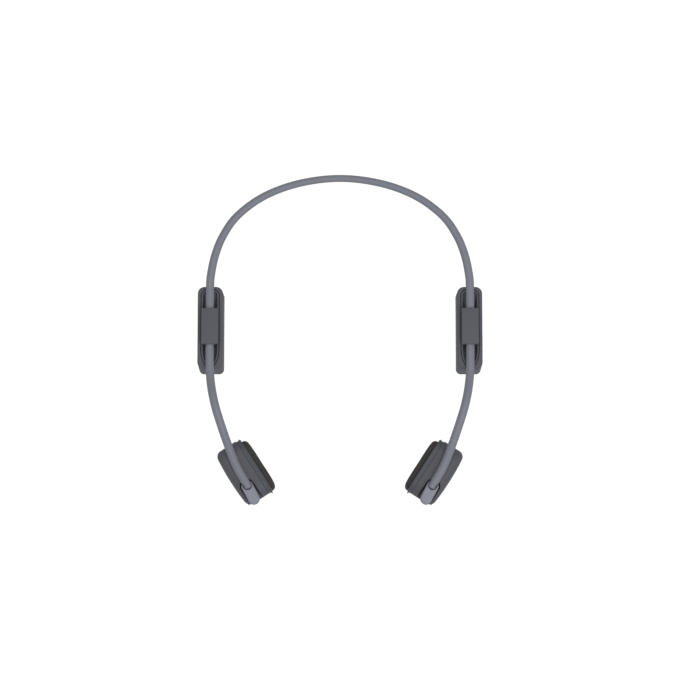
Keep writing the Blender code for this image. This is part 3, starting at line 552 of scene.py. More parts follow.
def carve(mesh, cuts=(), unions=(), edge=0.0, segments=2, angle=40):
    """Joins and cuts tool shapes, then rounds the sharp edges."""
    holder = bench(mesh)
    tools = []
    for operation, shapes in (("UNION", unions), ("DIFFERENCE", cuts)):
        for shape in shapes:
            tools.append(bench(shape))
            step = holder.modifiers.new("shape", "BOOLEAN")
            step.operation, step.solver, step.object = operation, "EXACT", tools[-1]
    if edge:
        bevel = holder.modifiers.new("soft edges", "BEVEL")
        bevel.width, bevel.segments = edge, segments
        bevel.limit_method, bevel.angle_limit = "ANGLE", radians(angle)
    result = flatten(holder)
    for tool in tools:
        bpy.data.objects.remove(tool, do_unlink=True)
    return result


def grow(tree, mesh, finish):
    """Runs a Geometry Nodes tree on a mesh; the finish goes in by its socket's identifier."""
    holder = bench(mesh)
    step = holder.modifiers.new("growth", "NODES")
    step.node_group = tree
    for item in tree.interface.items_tree:
        if item.name == "Finish":
            step[item.identifier] = FINISH[finish]
    return flatten(holder)


def add_piece(name, mesh, place, finish, body, *nodes, smooth_angle=32, slot=None):
    """A finished piece: its place goes into its mesh, and its object stays at the origin."""
    mesh.transform(place)
    if place.determinant() < 0:
        mesh.flip_normals()
    mesh.name = name
    mesh.materials.clear()
    mesh.materials.append(FINISH[finish])
    mesh.shade_smooth()
    mesh.set_sharp_from_angle(angle=radians(smooth_angle))
    piece = put_in_scene(name, mesh)
    if body:
        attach(piece, body)
    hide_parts(*nodes)
    print(f"{name}: {len(mesh.polygons)} faces")
    return piece


def both_ears(part, draw, places, finish, body, **options):
    """One piece for each ear, which stands for the solid of its name."""
    for ear in SIDE_OF:
        name = f"{ear}_{part}"
        add_piece(f"{name}_skin", draw(), places[ear], finish, f"{ear}_{body}", name, **options)

# %% [markdown]
# ## The band
#
# The real band is one silicone tube moulded over a spring wire. It is a round section that
# follows a path, so Geometry Nodes make it: a tree takes the centre line, gives it a radius that
# grows from the nape to the sides and closes at the tip, and sweeps a circle along it. A faint
# parting line from the mould runs along both sides. Each half of the band is its own mesh; the
# real band bends between the nape and one arm when the headset is opened.

# %% The band's centre line
BAND_PLAN = [
    (0.0, 80.8), (20.3, 78.3), (37.8, 71.8), (51.0, 62.1), (58.3, 51.9), (62.35, 41.75),
    (64.4, 31.6), (64.8, 24.0), (64.8, 5.5), (64.7, -14.0), (63.8, -24.0), (61.65, -34.4),
    (58.7, -44.0), (55.1, -54.3), (51.3, -63.7), (47.65, -70.2), (44.34, -75.7),
]
BAND_Z = 23.0
POD_BAND_Z = 25.2
HOOK_Y = (-15.0, -52.0)
HOOK_RISE = 5.0


def smooth_step(value):
    value = min(max(value, 0.0), 1.0)
    return value * value * (3 - 2 * value)


def band_height(y):
    """Level round the nape, arched over the ear, level again over the pod."""
    t = min(max((HOOK_Y[0] - y) / (HOOK_Y[0] - HOOK_Y[1]), 0.0), 1.0)
    return BAND_Z + (POD_BAND_Z - BAND_Z) * smooth_step(t) + HOOK_RISE * sin(pi * t) ** 2


def band_centre_line(samples=10):
    """Points from the nape's middle to the tip, through the plan's points."""
    plan = [Vector((-BAND_PLAN[1][0], BAND_PLAN[1][1]))] + [Vector(p) for p in BAND_PLAN]
    plan.append(2 * plan[-1] - plan[-2])
    points = []
    for before, start, end, after in zip(plan, plan[1:], plan[2:], plan[3:]):
        for step in range(samples):
            t = step / samples
            place = (
                start * (2 * t**3 - 3 * t**2 + 1)
                + (end - before) * 0.5 * (t**3 - 2 * t**2 + t)
                + end * (3 * t**2 - 2 * t**3)
                + (after - start) * 0.5 * (t**3 - t**2)
            )
            points.append(Vector((place.x, place.y, band_height(place.y))))
    return points + [Vector((*BAND_PLAN[-1], band_height(BAND_PLAN[-1][1])))]


TIP_TRIM = 0.5  # the skin's rounded tip ends this far short of the centre line's end
TIP_LENGTH = 1.7
line = band_centre_line()
reach = [0.0]
for here, there in zip(line, line[1:]):
    reach.append(reach[-1] + (there - here).length)
BAND_LENGTH = reach[-1] - TIP_TRIM


def on_band(distance):
    """The centre line's point at a distance from the nape's middle."""
    i = next(k for k in range(1, len(reach)) if distance <= reach[k] or k == len(reach) - 1)
    return line[i - 1].lerp(line[i], (distance - reach[i - 1]) / (reach[i] - reach[i - 1]))


BAND_POINT_STEP = 1.2
count = round((BAND_LENGTH - TIP_LENGTH) / BAND_POINT_STEP)
stations = [(BAND_LENGTH - TIP_LENGTH) * i / count for i in range(count)]
stations += [BAND_LENGTH - TIP_LENGTH * (1 - sin(a)) for a in arc(10)]
print("band half:", round(BAND_LENGTH, 1), "mm,", len(stations), "stations")

# %% The tree that sweeps the band
NAPE_RADIUS, SIDE_RADIUS = 1.77, 2.03
SMALLEST_SHARE = 0.02


def new_geometry_tree(name, start, sizes):
    """A tree that takes a geometry, named sizes and a finish."""
    inputs = {start: "Geometry", **sizes, "Finish": "Material"}
    return new_group(name, "GeometryNodeTree", inputs, {"Mesh": "Geometry"})


def end_geometry_tree(tree, given, result, mesh):
    """Ends a tree in real faces that carry their finish."""
    mesh = add_node(tree, "GeometryNodeRealizeInstances", {0: mesh})
    mesh = add_node(tree, "GeometryNodeSetMaterial", {"Geometry": mesh, "Material": given["Finish"]})
    tree.links.new(mesh, result[0])
    print(tree.name, "tree:", len(tree.nodes), "nodes")
    return tree


def make_band_tree():
    sizes = {
        "Nape Radius": NAPE_RADIUS, "Side Radius": SIDE_RADIUS, "Taper Length": 115.0,
        "Tip Length": TIP_LENGTH, "Sides": 48, "Parting Height": 0.03,
    }
    tree, given, result = new_geometry_tree("band_sweep", "Line", sizes)
    curve = add_node(tree, "GeometryNodeMeshToCurve", {"Mesh": given["Line"]})
    curve = add_node(tree, "GeometryNodeSetCurveNormal", {"Curve": curve}, mode="Z_UP")
    run = add_node(tree, "GeometryNodeSplineParameter", output="Length")
    total = add_node(tree, "GeometryNodeSplineLength", output="Length")
    growth = {
        "Value": run, "From Max": given["Taper Length"], "To Min": given["Nape Radius"],
        "To Max": given["Side Radius"],
    }
    taper = add_node(tree, "ShaderNodeMapRange", growth, interpolation_type="SMOOTHSTEP")
    left_over = calculate(tree, "SUBTRACT", total, run)
    share = calculate(tree, "DIVIDE", left_over, given["Tip Length"])
    share = calculate(tree, "MINIMUM", calculate(tree, "MAXIMUM", share, 0.0), 1.0)
    cube = calculate(tree, "POWER", calculate(tree, "SUBTRACT", 1.0, share), 3.0)
    close = calculate(tree, "POWER", calculate(tree, "SUBTRACT", 1.0, cube), 1 / 3)
    radius = times(tree, taper, calculate(tree, "MAXIMUM", close, SMALLEST_SHARE))
    circle = {"Resolution": given["Sides"], "Radius": 1.0}
    circle = add_node(tree, "GeometryNodeCurvePrimitiveCircle", circle)
    place = add_node(tree, "GeometryNodeInputPosition")
    height = add_node(tree, "ShaderNodeSeparateXYZ", {0: place}, "Y")
    on_line = calculate(tree, "LESS_THAN", calculate(tree, "ABSOLUTE", height), 0.02)
    ridge = plus(tree, times(tree, on_line, given["Parting Height"]), 1.0)
    raised = {"Geometry": circle, "Position": scaled(tree, place, ridge)}
    circle = add_node(tree, "GeometryNodeSetPosition", raised)
    sweep = {"Curve": curve, "Profile Curve": circle, "Scale": radius, "Fill Caps": True}
    return end_geometry_tree(tree, given, result, add_node(tree, "GeometryNodeCurveToMesh", sweep))

# %% Both halves of the band
BAND_SHIFT = 0.06
MERGE_DISTANCE = 0.0001
BAND_TREE = make_band_tree()

for ear, side in SIDE_OF.items():
    path = bpy.data.meshes.new("path")
    steps = [(i, i + 1) for i in range(len(stations) - 1)]
    path.from_pydata([on_band(distance) for distance in stations], steps, [])
    shape = bmesh.new()
    shape.from_mesh(grow(BAND_TREE, path, "band_silicone"))
    bmesh.ops.remove_doubles(shape, verts=shape.verts, dist=MERGE_DISTANCE)
    place = place_matrix(Vector((0, BAND_SHIFT * MM, 0)), side)
    nodes = [f"{ear}_band_jacket"] + (["nape_band_jacket"] if ear == "right" else [])
    skin = add_piece(f"{ear}_band_skin", mesh_from(shape), place, "band_silicone", None, *nodes)
    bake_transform(skin)

# %% [markdown]
# ## Modules
#
# A module is two injection mouldings: an upper shell and a bottom cover. The shell's top has a
# boat-shaped lip that carries the band down into a trough. All of it is one loft: the outline
# climbs the wall as a rounded rectangle, turns over the edge, changes into the boat shape on the
# flat top, dips into a thin groove, rises over the lip and falls to the trough's floor. The
# band's channel, the screw bosses and the openings are then Boolean cuts and joins, as a mould
# maker adds inserts to a simple cavity.

# %% Module sizes
MODULE_WIDTH, MODULE_LENGTH, MODULE_CORNER, MODULE_TOP = 12.5, 41.1, 3.4, 21.5
MODULE_EDGE = 0.8
FRONT_REACH, CORNER_TIGHTENING = 0.42, 1.0
MOUTH_Z = 3.15
SIDE_WALL, END_WALL = 1.2, 2.2
CAVITY_TOP = 16.8
GAP = 0.3
OVERCUT = 1.0
TROUGH_FLOOR = 17.7
LIP_TOP = 22.0
GROOVE_DEPTH = 1.3
TROUGH_CLIMB, RAMP_START, RAMP_END = 3.3, 10.5, 19.0
BOAT_HALF_WIDTH, BOAT_CUT = 4.78, 1.75
BOAT_REAR, BOAT_FRONT = (16.0, 19.8), (11.0, 20.45)  # length of the straight side, reach


def module_ring(z, inset):
    """The wall's outline: lower down it reaches further forward and its corners are tighter."""
    depth = 1 - z / MODULE_TOP
    corner = MODULE_CORNER - inset - CORNER_TIGHTENING * depth
    outline = rectangle(MODULE_WIDTH - 2 * inset, MODULE_LENGTH - 2 * inset, corner)
    stretch = 1 + 2 * FRONT_REACH * depth / MODULE_LENGTH
    return [(x, y * stretch if y < 0 else y, z) for x, y in outline]


def boat(half_width, rear, front):
    """Straight sides whose ends curve in as quarter ellipses, cut square under the band."""
    quarters = []
    for straight, end in (rear, front):
        run = [(half_width, straight * i / SIDE_STEPS) for i in range(SIDE_STEPS)]
        for angle in arc(CORNER_STEPS, acos(BOAT_CUT / half_width)):
            across = half_width * cos(angle)
            run.append((across, straight + (end - straight) * sin(angle)))
        tip = run[-1][1]
        run += [(BOAT_CUT * (1 - i / END_STEPS), tip) for i in range(1, END_STEPS + 1)]
        quarters.append(run)
    return whole(*quarters)


def lip_outline(inset):
    """The boat outline at a distance inside the groove's outer edge."""
    rear, front = [(straight, end - inset) for straight, end in (BOAT_REAR, BOAT_FRONT)]
    return boat(BOAT_HALF_WIDTH - inset, rear, front)


def ramp(y):
    """How far the trough's floor has climbed towards the module's ends."""
    return TROUGH_CLIMB * smooth_step((abs(y) - RAMP_START) / (RAMP_END - RAMP_START))

# %% Module shell
CAVITY_CORNER = 1.8
SCREW_Y = 16.2
BOSS_RADIUS, BOSS_LOW, BOSS_TOP = 2.6, 4.7, 7.2
SCREW_RADIUS, SCREW_HEAD_RADIUS = 0.6, 1.2


def module_shell_rings():
    inner = (MODULE_WIDTH - 2 * SIDE_WALL, MODULE_LENGTH - 2 * END_WALL, CAVITY_CORNER)
    rings = [upright(rectangle(*inner), z) for z in (CAVITY_TOP, MOUTH_Z)]
    rings += [module_ring(MOUTH_Z + up, inset) for up, inset in ((0.0, 0.18), (0.05, 0.05), (0.2, 0.0))]
    rings += [module_ring(z, inset) for z, inset in rounded(MODULE_TOP, MODULE_EDGE, 6)]
    groove = MODULE_TOP - GROOVE_DEPTH
    levels = [(0.0, MODULE_TOP), (0.06, MODULE_TOP - 0.08), (0.1, groove), (0.42, groove)]
    for inset, below in ((0.47, 0.25), (0.53, 0.08), (0.68, 0), (1.1, 0.03), (1.26, 0.12), (1.35, 0.35)):
        levels.append((inset, LIP_TOP - below))
    rings += [upright(lip_outline(inset), z) for inset, z in levels]
    for inset, above in ((1.39, 0.5), (1.5, 0.12), (1.8, 0.0)):
        rings.append([(x, y, TROUGH_FLOOR + above + ramp(y)) for x, y in lip_outline(inset)])
    return rings


def channel():
    """The half-open groove that the band lies in, along the module's top."""
    reach_y = MODULE_LENGTH / 2 + OVERCUT
    profile = [(SIDE_RADIUS + GAP, -reach_y), (SIDE_RADIUS + GAP, reach_y)]
    return turned(profile, 48, "Y", (0, 0, BAND_Z))


def rod(radius, low, high, at, sides=32):
    return turned([(radius, low), (radius, high)], sides, "Z", (0, at, 0))


def module_shell(openings):
    bosses = [rod(BOSS_RADIUS, BOSS_LOW, BOSS_TOP, y) for y in (-SCREW_Y, SCREW_Y)]
    bores = [rod(SCREW_RADIUS + GAP, 0.0, BOSS_TOP - SIDE_WALL, y) for y in (-SCREW_Y, SCREW_Y)]
    return carve(loft(module_shell_rings()), [channel(), *bores, *openings], bosses)

# %% [markdown]
# The right module carries the controls on its outer wall and the charging port on its rear end.
# Each opening is one block with round corners, cut through the wall, with the same gap round
# each key.

# %% Control openings
WALL_X, END_Y = MODULE_WIDTH / 2, MODULE_LENGTH / 2
CONTROL_Z = 12.0
KEYS = {"volume_up": (6.0, 5.4), "volume_down": (-1.5, 5.4), "main": (-10.5, 7.2)}
KEY_WIDTH, KEY_CORNER = 2.6, 1.2
LIGHT_Y, LIGHT_RADIUS = 12.0, 0.8
MICROPHONE_Y, MICROPHONE_Z, MICROPHONE_RADIUS = -16.5, 6.5, 1.0
PORT = (-1.2, 12.0)  # x, height
FLAP_WIDTH, FLAP_HEIGHT, FLAP_CORNER, FLAP_THICKNESS = 6.0, 11.4, 0.6, 0.9
SOCKET = (3.2, 8.8, 1.1)


def side_block(near_x, far_x, height, length, corner, y, z=CONTROL_Z):
    """A block with round corners through a side wall."""
    outline = rectangle(height, length, corner, (z, y))
    return loft([facing(outline, x) for x in (near_x, far_x)])


def end_block(near_y, far_y, width, height, corner, middle=PORT):
    """A block with round corners through the rear end."""
    outline = rectangle(width, height, corner, middle)
    return loft([standing(outline, y) for y in (near_y, far_y)])


def control_openings():
    inside, outside = WALL_X - SIDE_WALL - OVERCUT, WALL_X + OVERCUT
    found = []
    for y, length in KEYS.values():
        size = (KEY_WIDTH + 2 * GAP, length + 2 * GAP, KEY_CORNER + GAP)
        found.append(side_block(inside, outside, *size, y))
    for radius, y, z in (
        (LIGHT_RADIUS, LIGHT_Y, CONTROL_Z),
        (MICROPHONE_RADIUS, MICROPHONE_Y, MICROPHONE_Z),
    ):
        profile = [(radius + GAP / 2, inside), (radius + GAP / 2, outside)]
        found.append(turned(profile, 32, "X", (0, y, z)))
    seat = (FLAP_WIDTH + 2 * GAP, FLAP_HEIGHT + 2 * GAP, FLAP_CORNER)
    found.append(end_block(END_Y - FLAP_THICKNESS - GAP, END_Y + OVERCUT, *seat))
    found.append(end_block(END_Y - END_WALL - OVERCUT, END_Y + OVERCUT, *SOCKET))
    return found

# %% Both module shells
for ear in SIDE_OF:
    shell = module_shell(control_openings() if ear == "right" else [])
    name = f"{ear}_module_shell"
    add_piece(f"{name}_skin", shell, MODULE_PLACE[ear], "housing_plastic", f"{ear}_arm", name)

# %% [markdown]
# The cover closes the module from below. It is a shallow tray with a softly rounded bottom edge
# and a step that locates inside the shell. Two screws hold it. The screws repeat, so one tree
# makes them: a head, a shaft and a cross recess cut by a Mesh Boolean node, instanced on points.

# %% Module covers
COVER_TOP = 2.85
STEP_TOP, STEP_CORNER = 4.2, 1.5
HEAD_RECESS = 1.4
COVER_LEVELS = [  # z, inset
    (0.0, 1.1), (0.04, 0.8), (0.14, 0.5), (0.32, 0.26), (0.6, 0.08), (1.0, 0.0),
    (COVER_TOP - 0.2, 0.0), (COVER_TOP - 0.05, 0.05), (COVER_TOP, 0.18),
]


def module_cover():
    rings = [module_ring(z, inset) for z, inset in COVER_LEVELS]
    width, length = MODULE_WIDTH - 2 * (SIDE_WALL + GAP), MODULE_LENGTH - 2 * (END_WALL + GAP)
    rings += [upright(rectangle(width, length, STEP_CORNER), z) for z in (COVER_TOP, STEP_TOP)]
    cuts = []
    for y in (-SCREW_Y, SCREW_Y):
        cuts.append(rod(SCREW_HEAD_RADIUS + GAP, -OVERCUT, HEAD_RECESS, y, 48))
        cuts.append(rod(SCREW_RADIUS + GAP, 0, STEP_TOP + OVERCUT, y))
    return carve(loft(rings), cuts)


both_ears("module_cover", module_cover, MODULE_PLACE, "housing_plastic", "arm")

# %% The tree that makes screws
SCREW_FACE_Z = 0.35


def make_screw_tree():
    sizes = {
        "Head Radius": SCREW_HEAD_RADIUS, "Head Height": 0.7, "Shaft Radius": SCREW_RADIUS,
        "Shaft Length": 4.6, "Recess Width": 0.3, "Recess Depth": 0.45, "Overlap": 0.1,
    }
    tree, given, result = new_geometry_tree("cover_screws", "Points", sizes)

    def cylinder(radius, depth, middle):
        sockets = {"Vertices": 32, "Radius": radius, "Depth": depth}
        body = add_node(tree, "GeometryNodeMeshCylinder", sockets, "Mesh")
        offset = add_node(tree, "ShaderNodeCombineXYZ", {"Z": middle})
        return add_node(tree, "GeometryNodeTransform", {"Geometry": body, "Translation": offset})

    def boolean(operation, sockets):
        sockets["Self Intersection"] = True
        return add_node(tree, "GeometryNodeMeshBoolean", sockets, operation=operation, solver="EXACT")

    head_height, width = given["Head Height"], given["Recess Width"]
    head = cylinder(given["Head Radius"], head_height, times(tree, head_height, 0.5))
    middle = plus(tree, head_height, times(tree, given["Shaft Length"], 0.5))
    middle = calculate(tree, "SUBTRACT", middle, given["Overlap"])
    shaft = cylinder(given["Shaft Radius"], given["Shaft Length"], middle)
    body = boolean("UNION", {"Mesh 2": [head, shaft]})
    long_side = times(tree, given["Head Radius"], 1.3)
    tall_side = times(tree, given["Recess Depth"], 2.0)
    bars = []
    for x, y in ((long_side, width), (width, long_side)):
        size = add_node(tree, "ShaderNodeCombineXYZ", {0: x, 1: y, 2: tall_side})
        bars.append(add_node(tree, "GeometryNodeMeshCube", {"Size": size}, "Mesh"))
    screw = boolean("DIFFERENCE", {"Mesh 1": body, "Mesh 2": bars})
    laid = {"Points": given["Points"], "Instance": screw}
    laid = add_node(tree, "GeometryNodeInstanceOnPoints", laid)
    return end_geometry_tree(tree, given, result, laid)


SCREW_TREE = make_screw_tree()
for ear in SIDE_OF:
    spots = bpy.data.meshes.new("spots")
    spots.from_pydata([(0, y, SCREW_FACE_Z) for y in (-SCREW_Y, SCREW_Y)], [], [])
    screws = carve(grow(SCREW_TREE, spots, "steel"), edge=0.08, angle=50)
    nodes = [f"{ear}_cover_screw_front", f"{ear}_cover_screw_rear"]
    add_piece(f"{ear}_cover_screws", screws, MODULE_PLACE[ear], "steel", f"{ear}_arm", *nodes)

# %% [markdown]
# The clamp is a small saddle over the band, snapped to the lip. It is a straight prism with an
# arched tunnel, so an outline pulled along the band and a bevel on its edges are enough.

# %% Clamps
CLAMP_WIDTH, CLAMP_TOP = 8.5, 26.2
CLAMP_FRONT, CLAMP_REAR = -8.9, 9.15
CLAMP_LOW = LIP_TOP + 0.25
CLAMP_GAP = 0.2


def band_clamp():
    half, radius = CLAMP_WIDTH / 2, SIDE_RADIUS + CLAMP_GAP
    outline = [(radius, CLAMP_LOW), *half_circle((0, BAND_Z), radius), (-radius, CLAMP_LOW), (-half, CLAMP_LOW)]
    outline += [(-half, CLAMP_TOP), (half, CLAMP_TOP), (half, CLAMP_LOW)]
    block = loft([standing(outline, y) for y in (CLAMP_FRONT, CLAMP_REAR)])
    return carve(block, edge=0.4, segments=4)


both_ears("band_clamp", band_clamp, MODULE_PLACE, "housing_plastic", "arm")

# %% [markdown]
# ## Keys, light, microphone and port flap
#
# The keys are moulded caps with a slightly domed face and a flange inside that keeps them in.
# The volume keys have a raised plus and minus, and the main key a small ring, so that a finger
# can tell them apart. Each cap is a loft along its travel, with its mark joined on.

# %% Keys
MARK_X = (WALL_X - 0.1, WALL_X + 0.22)
RING_OUTER, RING_INNER = 0.75, 0.5
SMALLEST_CORNER = 0.12
KEY_FLANGE = WALL_X - SIDE_WALL - GAP
KEY_LEVELS = [  # x, inset
    (KEY_FLANGE - 0.8, -0.6), (KEY_FLANGE, -0.6), (KEY_FLANGE, 0.0), (WALL_X - 0.15, 0.0),
    (WALL_X - 0.03, 0.06), (WALL_X + 0.04, 0.22), (WALL_X + 0.09, 0.6), (WALL_X + 0.1, 1.0),
]


def key_cap(y, length, marks):
    rings = []
    for x, inset in KEY_LEVELS:
        size = shrunk((KEY_WIDTH, length, KEY_CORNER), inset, SMALLEST_CORNER)
        rings.append(facing(rectangle(*size, (CONTROL_Z, y)), x))
    return carve(loft(rings), unions=marks)


def bar_mark(y, height, length):
    return side_block(*MARK_X, height, length, SMALLEST_CORNER, y)


def ring_mark(y):
    profile = [(r, x) for r, x in zip((RING_OUTER,) * 2 + (RING_INNER,) * 2, MARK_X + MARK_X[::-1])]
    return turned(profile, 32, "X", (0, y, CONTROL_Z), closed=True)


MARKS = {
    "volume_up": [bar_mark(6.0, 0.3, 1.5), bar_mark(6.0, 1.5, 0.3)],
    "volume_down": [bar_mark(-1.5, 0.3, 1.5)],
    "main": [ring_mark(-10.5)],
}
for key, (y, length) in KEYS.items():
    cap = key_cap(y, length, MARKS[key])
    name = f"{key}_button"
    add_piece(f"{name}_cap", cap, MODULE_PLACE["right"], "housing_plastic", f"{key}_key", name)

# %% [markdown]
# The light pipe ends in a small clear dome. The microphone's grille is a disc with seven round
# perforations in a ring pattern, which a tree makes with instanced pins and a Mesh Boolean node.

# %% Light and microphone
DOME = [  # radius, x
    (LIGHT_RADIUS, WALL_X - 1.8), (LIGHT_RADIUS, WALL_X - 0.12), (0.72, WALL_X - 0.03),
    (0.5, WALL_X + 0.05), (0.25, WALL_X + 0.09), (0.03, WALL_X + 0.1),
]
lens = turned(DOME, 32, "X", (0, LIGHT_Y, CONTROL_Z))
add_piece("light_dome", lens, MODULE_PLACE["right"], "light_pipe", "right_arm", "light_pipe")
GRILLE_DISC = [(0.96, -1.6), (0.96, -0.06), (0.9, 0.0)]  # radius, depth
GRILLE_PLACE = (WALL_X - 0.2, MICROPHONE_Y, MICROPHONE_Z)


def make_grille_tree():
    sizes = {"Ring Radius": 0.55, "Hole Radius": 0.15, "Hole Depth": 0.5, "Holes": 6}
    tree, given, result = new_geometry_tree("microphone_grille", "Disc", sizes)
    ring = {"Vertices": given["Holes"], "Radius": given["Ring Radius"]}
    ring = add_node(tree, "GeometryNodeMeshCircle", ring)
    middle = add_node(tree, "GeometryNodeMeshLine", {"Count": 1})
    spots = add_node(tree, "GeometryNodeJoinGeometry", {0: [ring, middle]})
    pin = {"Vertices": 12, "Radius": given["Hole Radius"], "Depth": given["Hole Depth"]}
    pin = add_node(tree, "GeometryNodeMeshCylinder", pin, "Mesh")
    pins = add_node(tree, "GeometryNodeInstanceOnPoints", {"Points": spots, "Instance": pin})
    pins = add_node(tree, "GeometryNodeRealizeInstances", {0: pins})
    holed = {"Mesh 1": given["Disc"], "Mesh 2": pins}
    holed = add_node(tree, "GeometryNodeMeshBoolean", holed, operation="DIFFERENCE")
    return end_geometry_tree(tree, given, result, holed)


grille = aim(grow(make_grille_tree(), turned(GRILLE_DISC, 48), "dark_plastic"), "X", GRILLE_PLACE)
add_piece("microphone_grille", grille, MODULE_PLACE["right"], "dark_plastic", "right_arm", "microphone")

# %% [markdown]
# The flap over the charging port is soft rubber. It hinges on a rounded lower edge, has a pull
# tab with three small ribs at its top, and a plug behind it that seals the socket.

# %% Port flap
FLAP_LEVELS = [  # distance behind the module's end, inset
    (FLAP_THICKNESS, 0.1), (FLAP_THICKNESS - 0.1, 0.0), (0.25, 0.0), (0.08, 0.07), (0.0, 0.25),
    (-0.04, 0.9),
]
FLAP_RIB = (3.6, 0.3, 0.14)
FIRST_RIB_Z, RIB_PITCH = PORT[1] + FLAP_HEIGHT / 2 - 1.2, 0.7
PLUG = (SOCKET[0] - 1.0, SOCKET[1] - 1.0, 0.9)


def port_flap():
    rings = []
    for back_off, inset in FLAP_LEVELS:
        size = (FLAP_WIDTH - 2 * inset, FLAP_HEIGHT - 2 * inset, FLAP_CORNER)
        rings.append(standing(rectangle(*size, PORT), END_Y - back_off))
    heights = [FIRST_RIB_Z - RIB_PITCH * row for row in range(3)]
    ribs = [end_block(END_Y - 0.2, END_Y + 0.2, *FLAP_RIB, (PORT[0], z)) for z in heights]
    plug = end_block(END_Y - FLAP_THICKNESS - 0.6, END_Y - FLAP_THICKNESS / 2, *PLUG)
    return carve(loft(rings), unions=[plug, *ribs])


flap = ("charging_port_flap_skin", port_flap(), MODULE_PLACE["right"])
add_piece(*flap, "seal_rubber", "port_flap", "charging_port_flap")

# %% [markdown]
# ## Pods
#
# A pod is a cup with a crowned outer face, a slot in its top for the band's knuckle, a rim
# with a thin flared lip, and the contact pad. The cup and rim are turned-over outlines, so they
# are lofts from the cheek side outwards. The slot is cut last, because it opens through both
# the flat top and the rounded front.

# %% Pod shells
POD_SIZE = (23.0, 30.7, 6.5)  # height, length, corner
POD_MIDDLE = (11.5, 7.0)  # height, distance behind the pin
POD_MOUTH_X, POD_OUTER_X = -7.0, 5.86
POD_CAVITY, CAVITY_END_X = (13.4, 28.1, 4.0, (8.1, 7.0)), 4.4
POD_EDGE = 3.4
EDGE_TURN = radians(82)
CROWN, CROWN_STEPS, CROWN_SPAN = 0.633, 8, 8.2
SLOT_FLOOR, SLOT_TOP, SLOT_FRONT, SLOT_FRONT_X = 16.3, 24.5, -9.35, (-3.8, 4.0)
SLOT_MIDDLE, SLOT_RADIUS = (0.2, 0), 3.6
TUCK, TUCK_TOP, TUCK_LENGTH = 0.9, 20.0, 14.0
PIN_BORE, PIN_BORE_LOW = 1.1, 15.9


def tucked(outline):
    """The outline with its lower front drawn in, so that the knuckle hangs over the pod."""
    found = []
    for z, y in outline:
        depth = smooth_step((TUCK_TOP - z) / TUCK_TOP)
        found.append((z, y + TUCK * depth * smooth_step((POD_MIDDLE[1] - y) / TUCK_LENGTH)))
    return found


def pod_ring(x, inset, share=1.0):
    """The pod's outline at x, inset from its full size and then scaled about its middle."""
    size = [side * share for side in shrunk(POD_SIZE, inset, 0.2)]
    return facing(tucked(rectangle(*size, POD_MIDDLE)), x)


def pod_shell():
    rings = [facing(rectangle(*POD_CAVITY), x) for x in (CAVITY_END_X, POD_MOUTH_X)]
    rings += [pod_ring(POD_MOUTH_X + up, inset) for up, inset in ((0.0, 0.3), (0.12, 0.12), (0.35, 0.0))]
    edge_x = POD_OUTER_X - CROWN - POD_EDGE * sin(EDGE_TURN)
    for angle in arc(10, EDGE_TURN):
        rings.append(pod_ring(edge_x + POD_EDGE * sin(angle), POD_EDGE * (1 - cos(angle))))
    last_inset = POD_EDGE * (1 - cos(EDGE_TURN))
    for step in range(1, CROWN_STEPS + 1):
        share = 1 - step / CROWN_SPAN
        rings.append(pod_ring(POD_OUTER_X - CROWN * share**2, last_inset, share))
    slot = half_circle(SLOT_MIDDLE, SLOT_RADIUS, steps=32)
    slot += [(x, SLOT_FRONT) for x in SLOT_FRONT_X]
    cut = loft([upright(slot, z) for z in (SLOT_FLOOR, SLOT_TOP)])
    return carve(loft(rings), [cut, rod(PIN_BORE, PIN_BORE_LOW, SLOT_FLOOR + OVERCUT, 0.0)])


both_ears("pod_shell", pod_shell, POD_PLACE, "housing_plastic", "pod")

# %% Pod rims
RIM_LEVELS = [  # x, inset, reach of the lip's rear end and front end
    (-7.03, 0.34, 0.0, 0.0), (-7.13, 0.24, 0.0, 0.0), (-7.35, 0.14, 0.0, 0.0),
    (-7.6, 0.18, 0.0, 0.0), (-8.0, 0.28, 0.0, 0.0), (-8.25, 0.24, 0.0, 0.05),
    (-8.45, 0.08, 0.04, 0.25), (-8.6, -0.04, 0.16, 0.55), (-8.7, -0.06, 0.3, 0.75),
    (-8.8, -0.04, 0.2, 0.6), (-8.95, 0.12, 0.0, 0.2), (-9.32, 0.24, 0.0, 0.0), (-9.4, 0.38, 0.0, 0.0),
]
RIM_MIDDLE = (11.5, 6.72)
RIM_SIZE = (23.0, 30.64, 6.4)
WINDOW = (8.6, 22.0, 2.0, (8.1, 7.0))
SPIGOT = (10.8, 25.5, 3.0, (8.1, 7.0))
SPIGOT_END_X = -5.8


def pod_rim():
    rings = [facing(rectangle(*WINDOW), x) for x in (RIM_LEVELS[-1][0], SPIGOT_END_X)]
    rings += [facing(rectangle(*SPIGOT), x) for x in (SPIGOT_END_X, RIM_LEVELS[0][0])]
    for x, inset, rear, front in RIM_LEVELS:
        outline = []
        for z, y in tucked(rectangle(*shrunk(RIM_SIZE, inset), RIM_MIDDLE)):
            share = 2 * (y - RIM_MIDDLE[1]) / RIM_SIZE[1]
            outline.append((z, y + abs(share) ** 3 * (rear if share > 0 else -front)))
        rings.append(facing(outline, x))
    return loft(rings, closed=True)


both_ears("pod_rim", pod_rim, POD_PLACE, "rim_plastic", "pod")

# %% [markdown]
# ## Contact pads
#
# The pad is a thin foam cushion under a woven mesh, pulled tight over its edge. It starts as a
# loft of rings a little smaller than the real pad. A short cloth simulation with pressure then
# fills it, with its back ring held, at fifty times its size because cloth settles badly on very
# small meshes. Its movement is scaled down to a set most, which keeps the crown smooth. The
# rings also carry an unrolled map of the fabric, so that the weave bends over the edge as cloth
# does. The mesh's threads are then raised by a Geometry Nodes tree on that map.

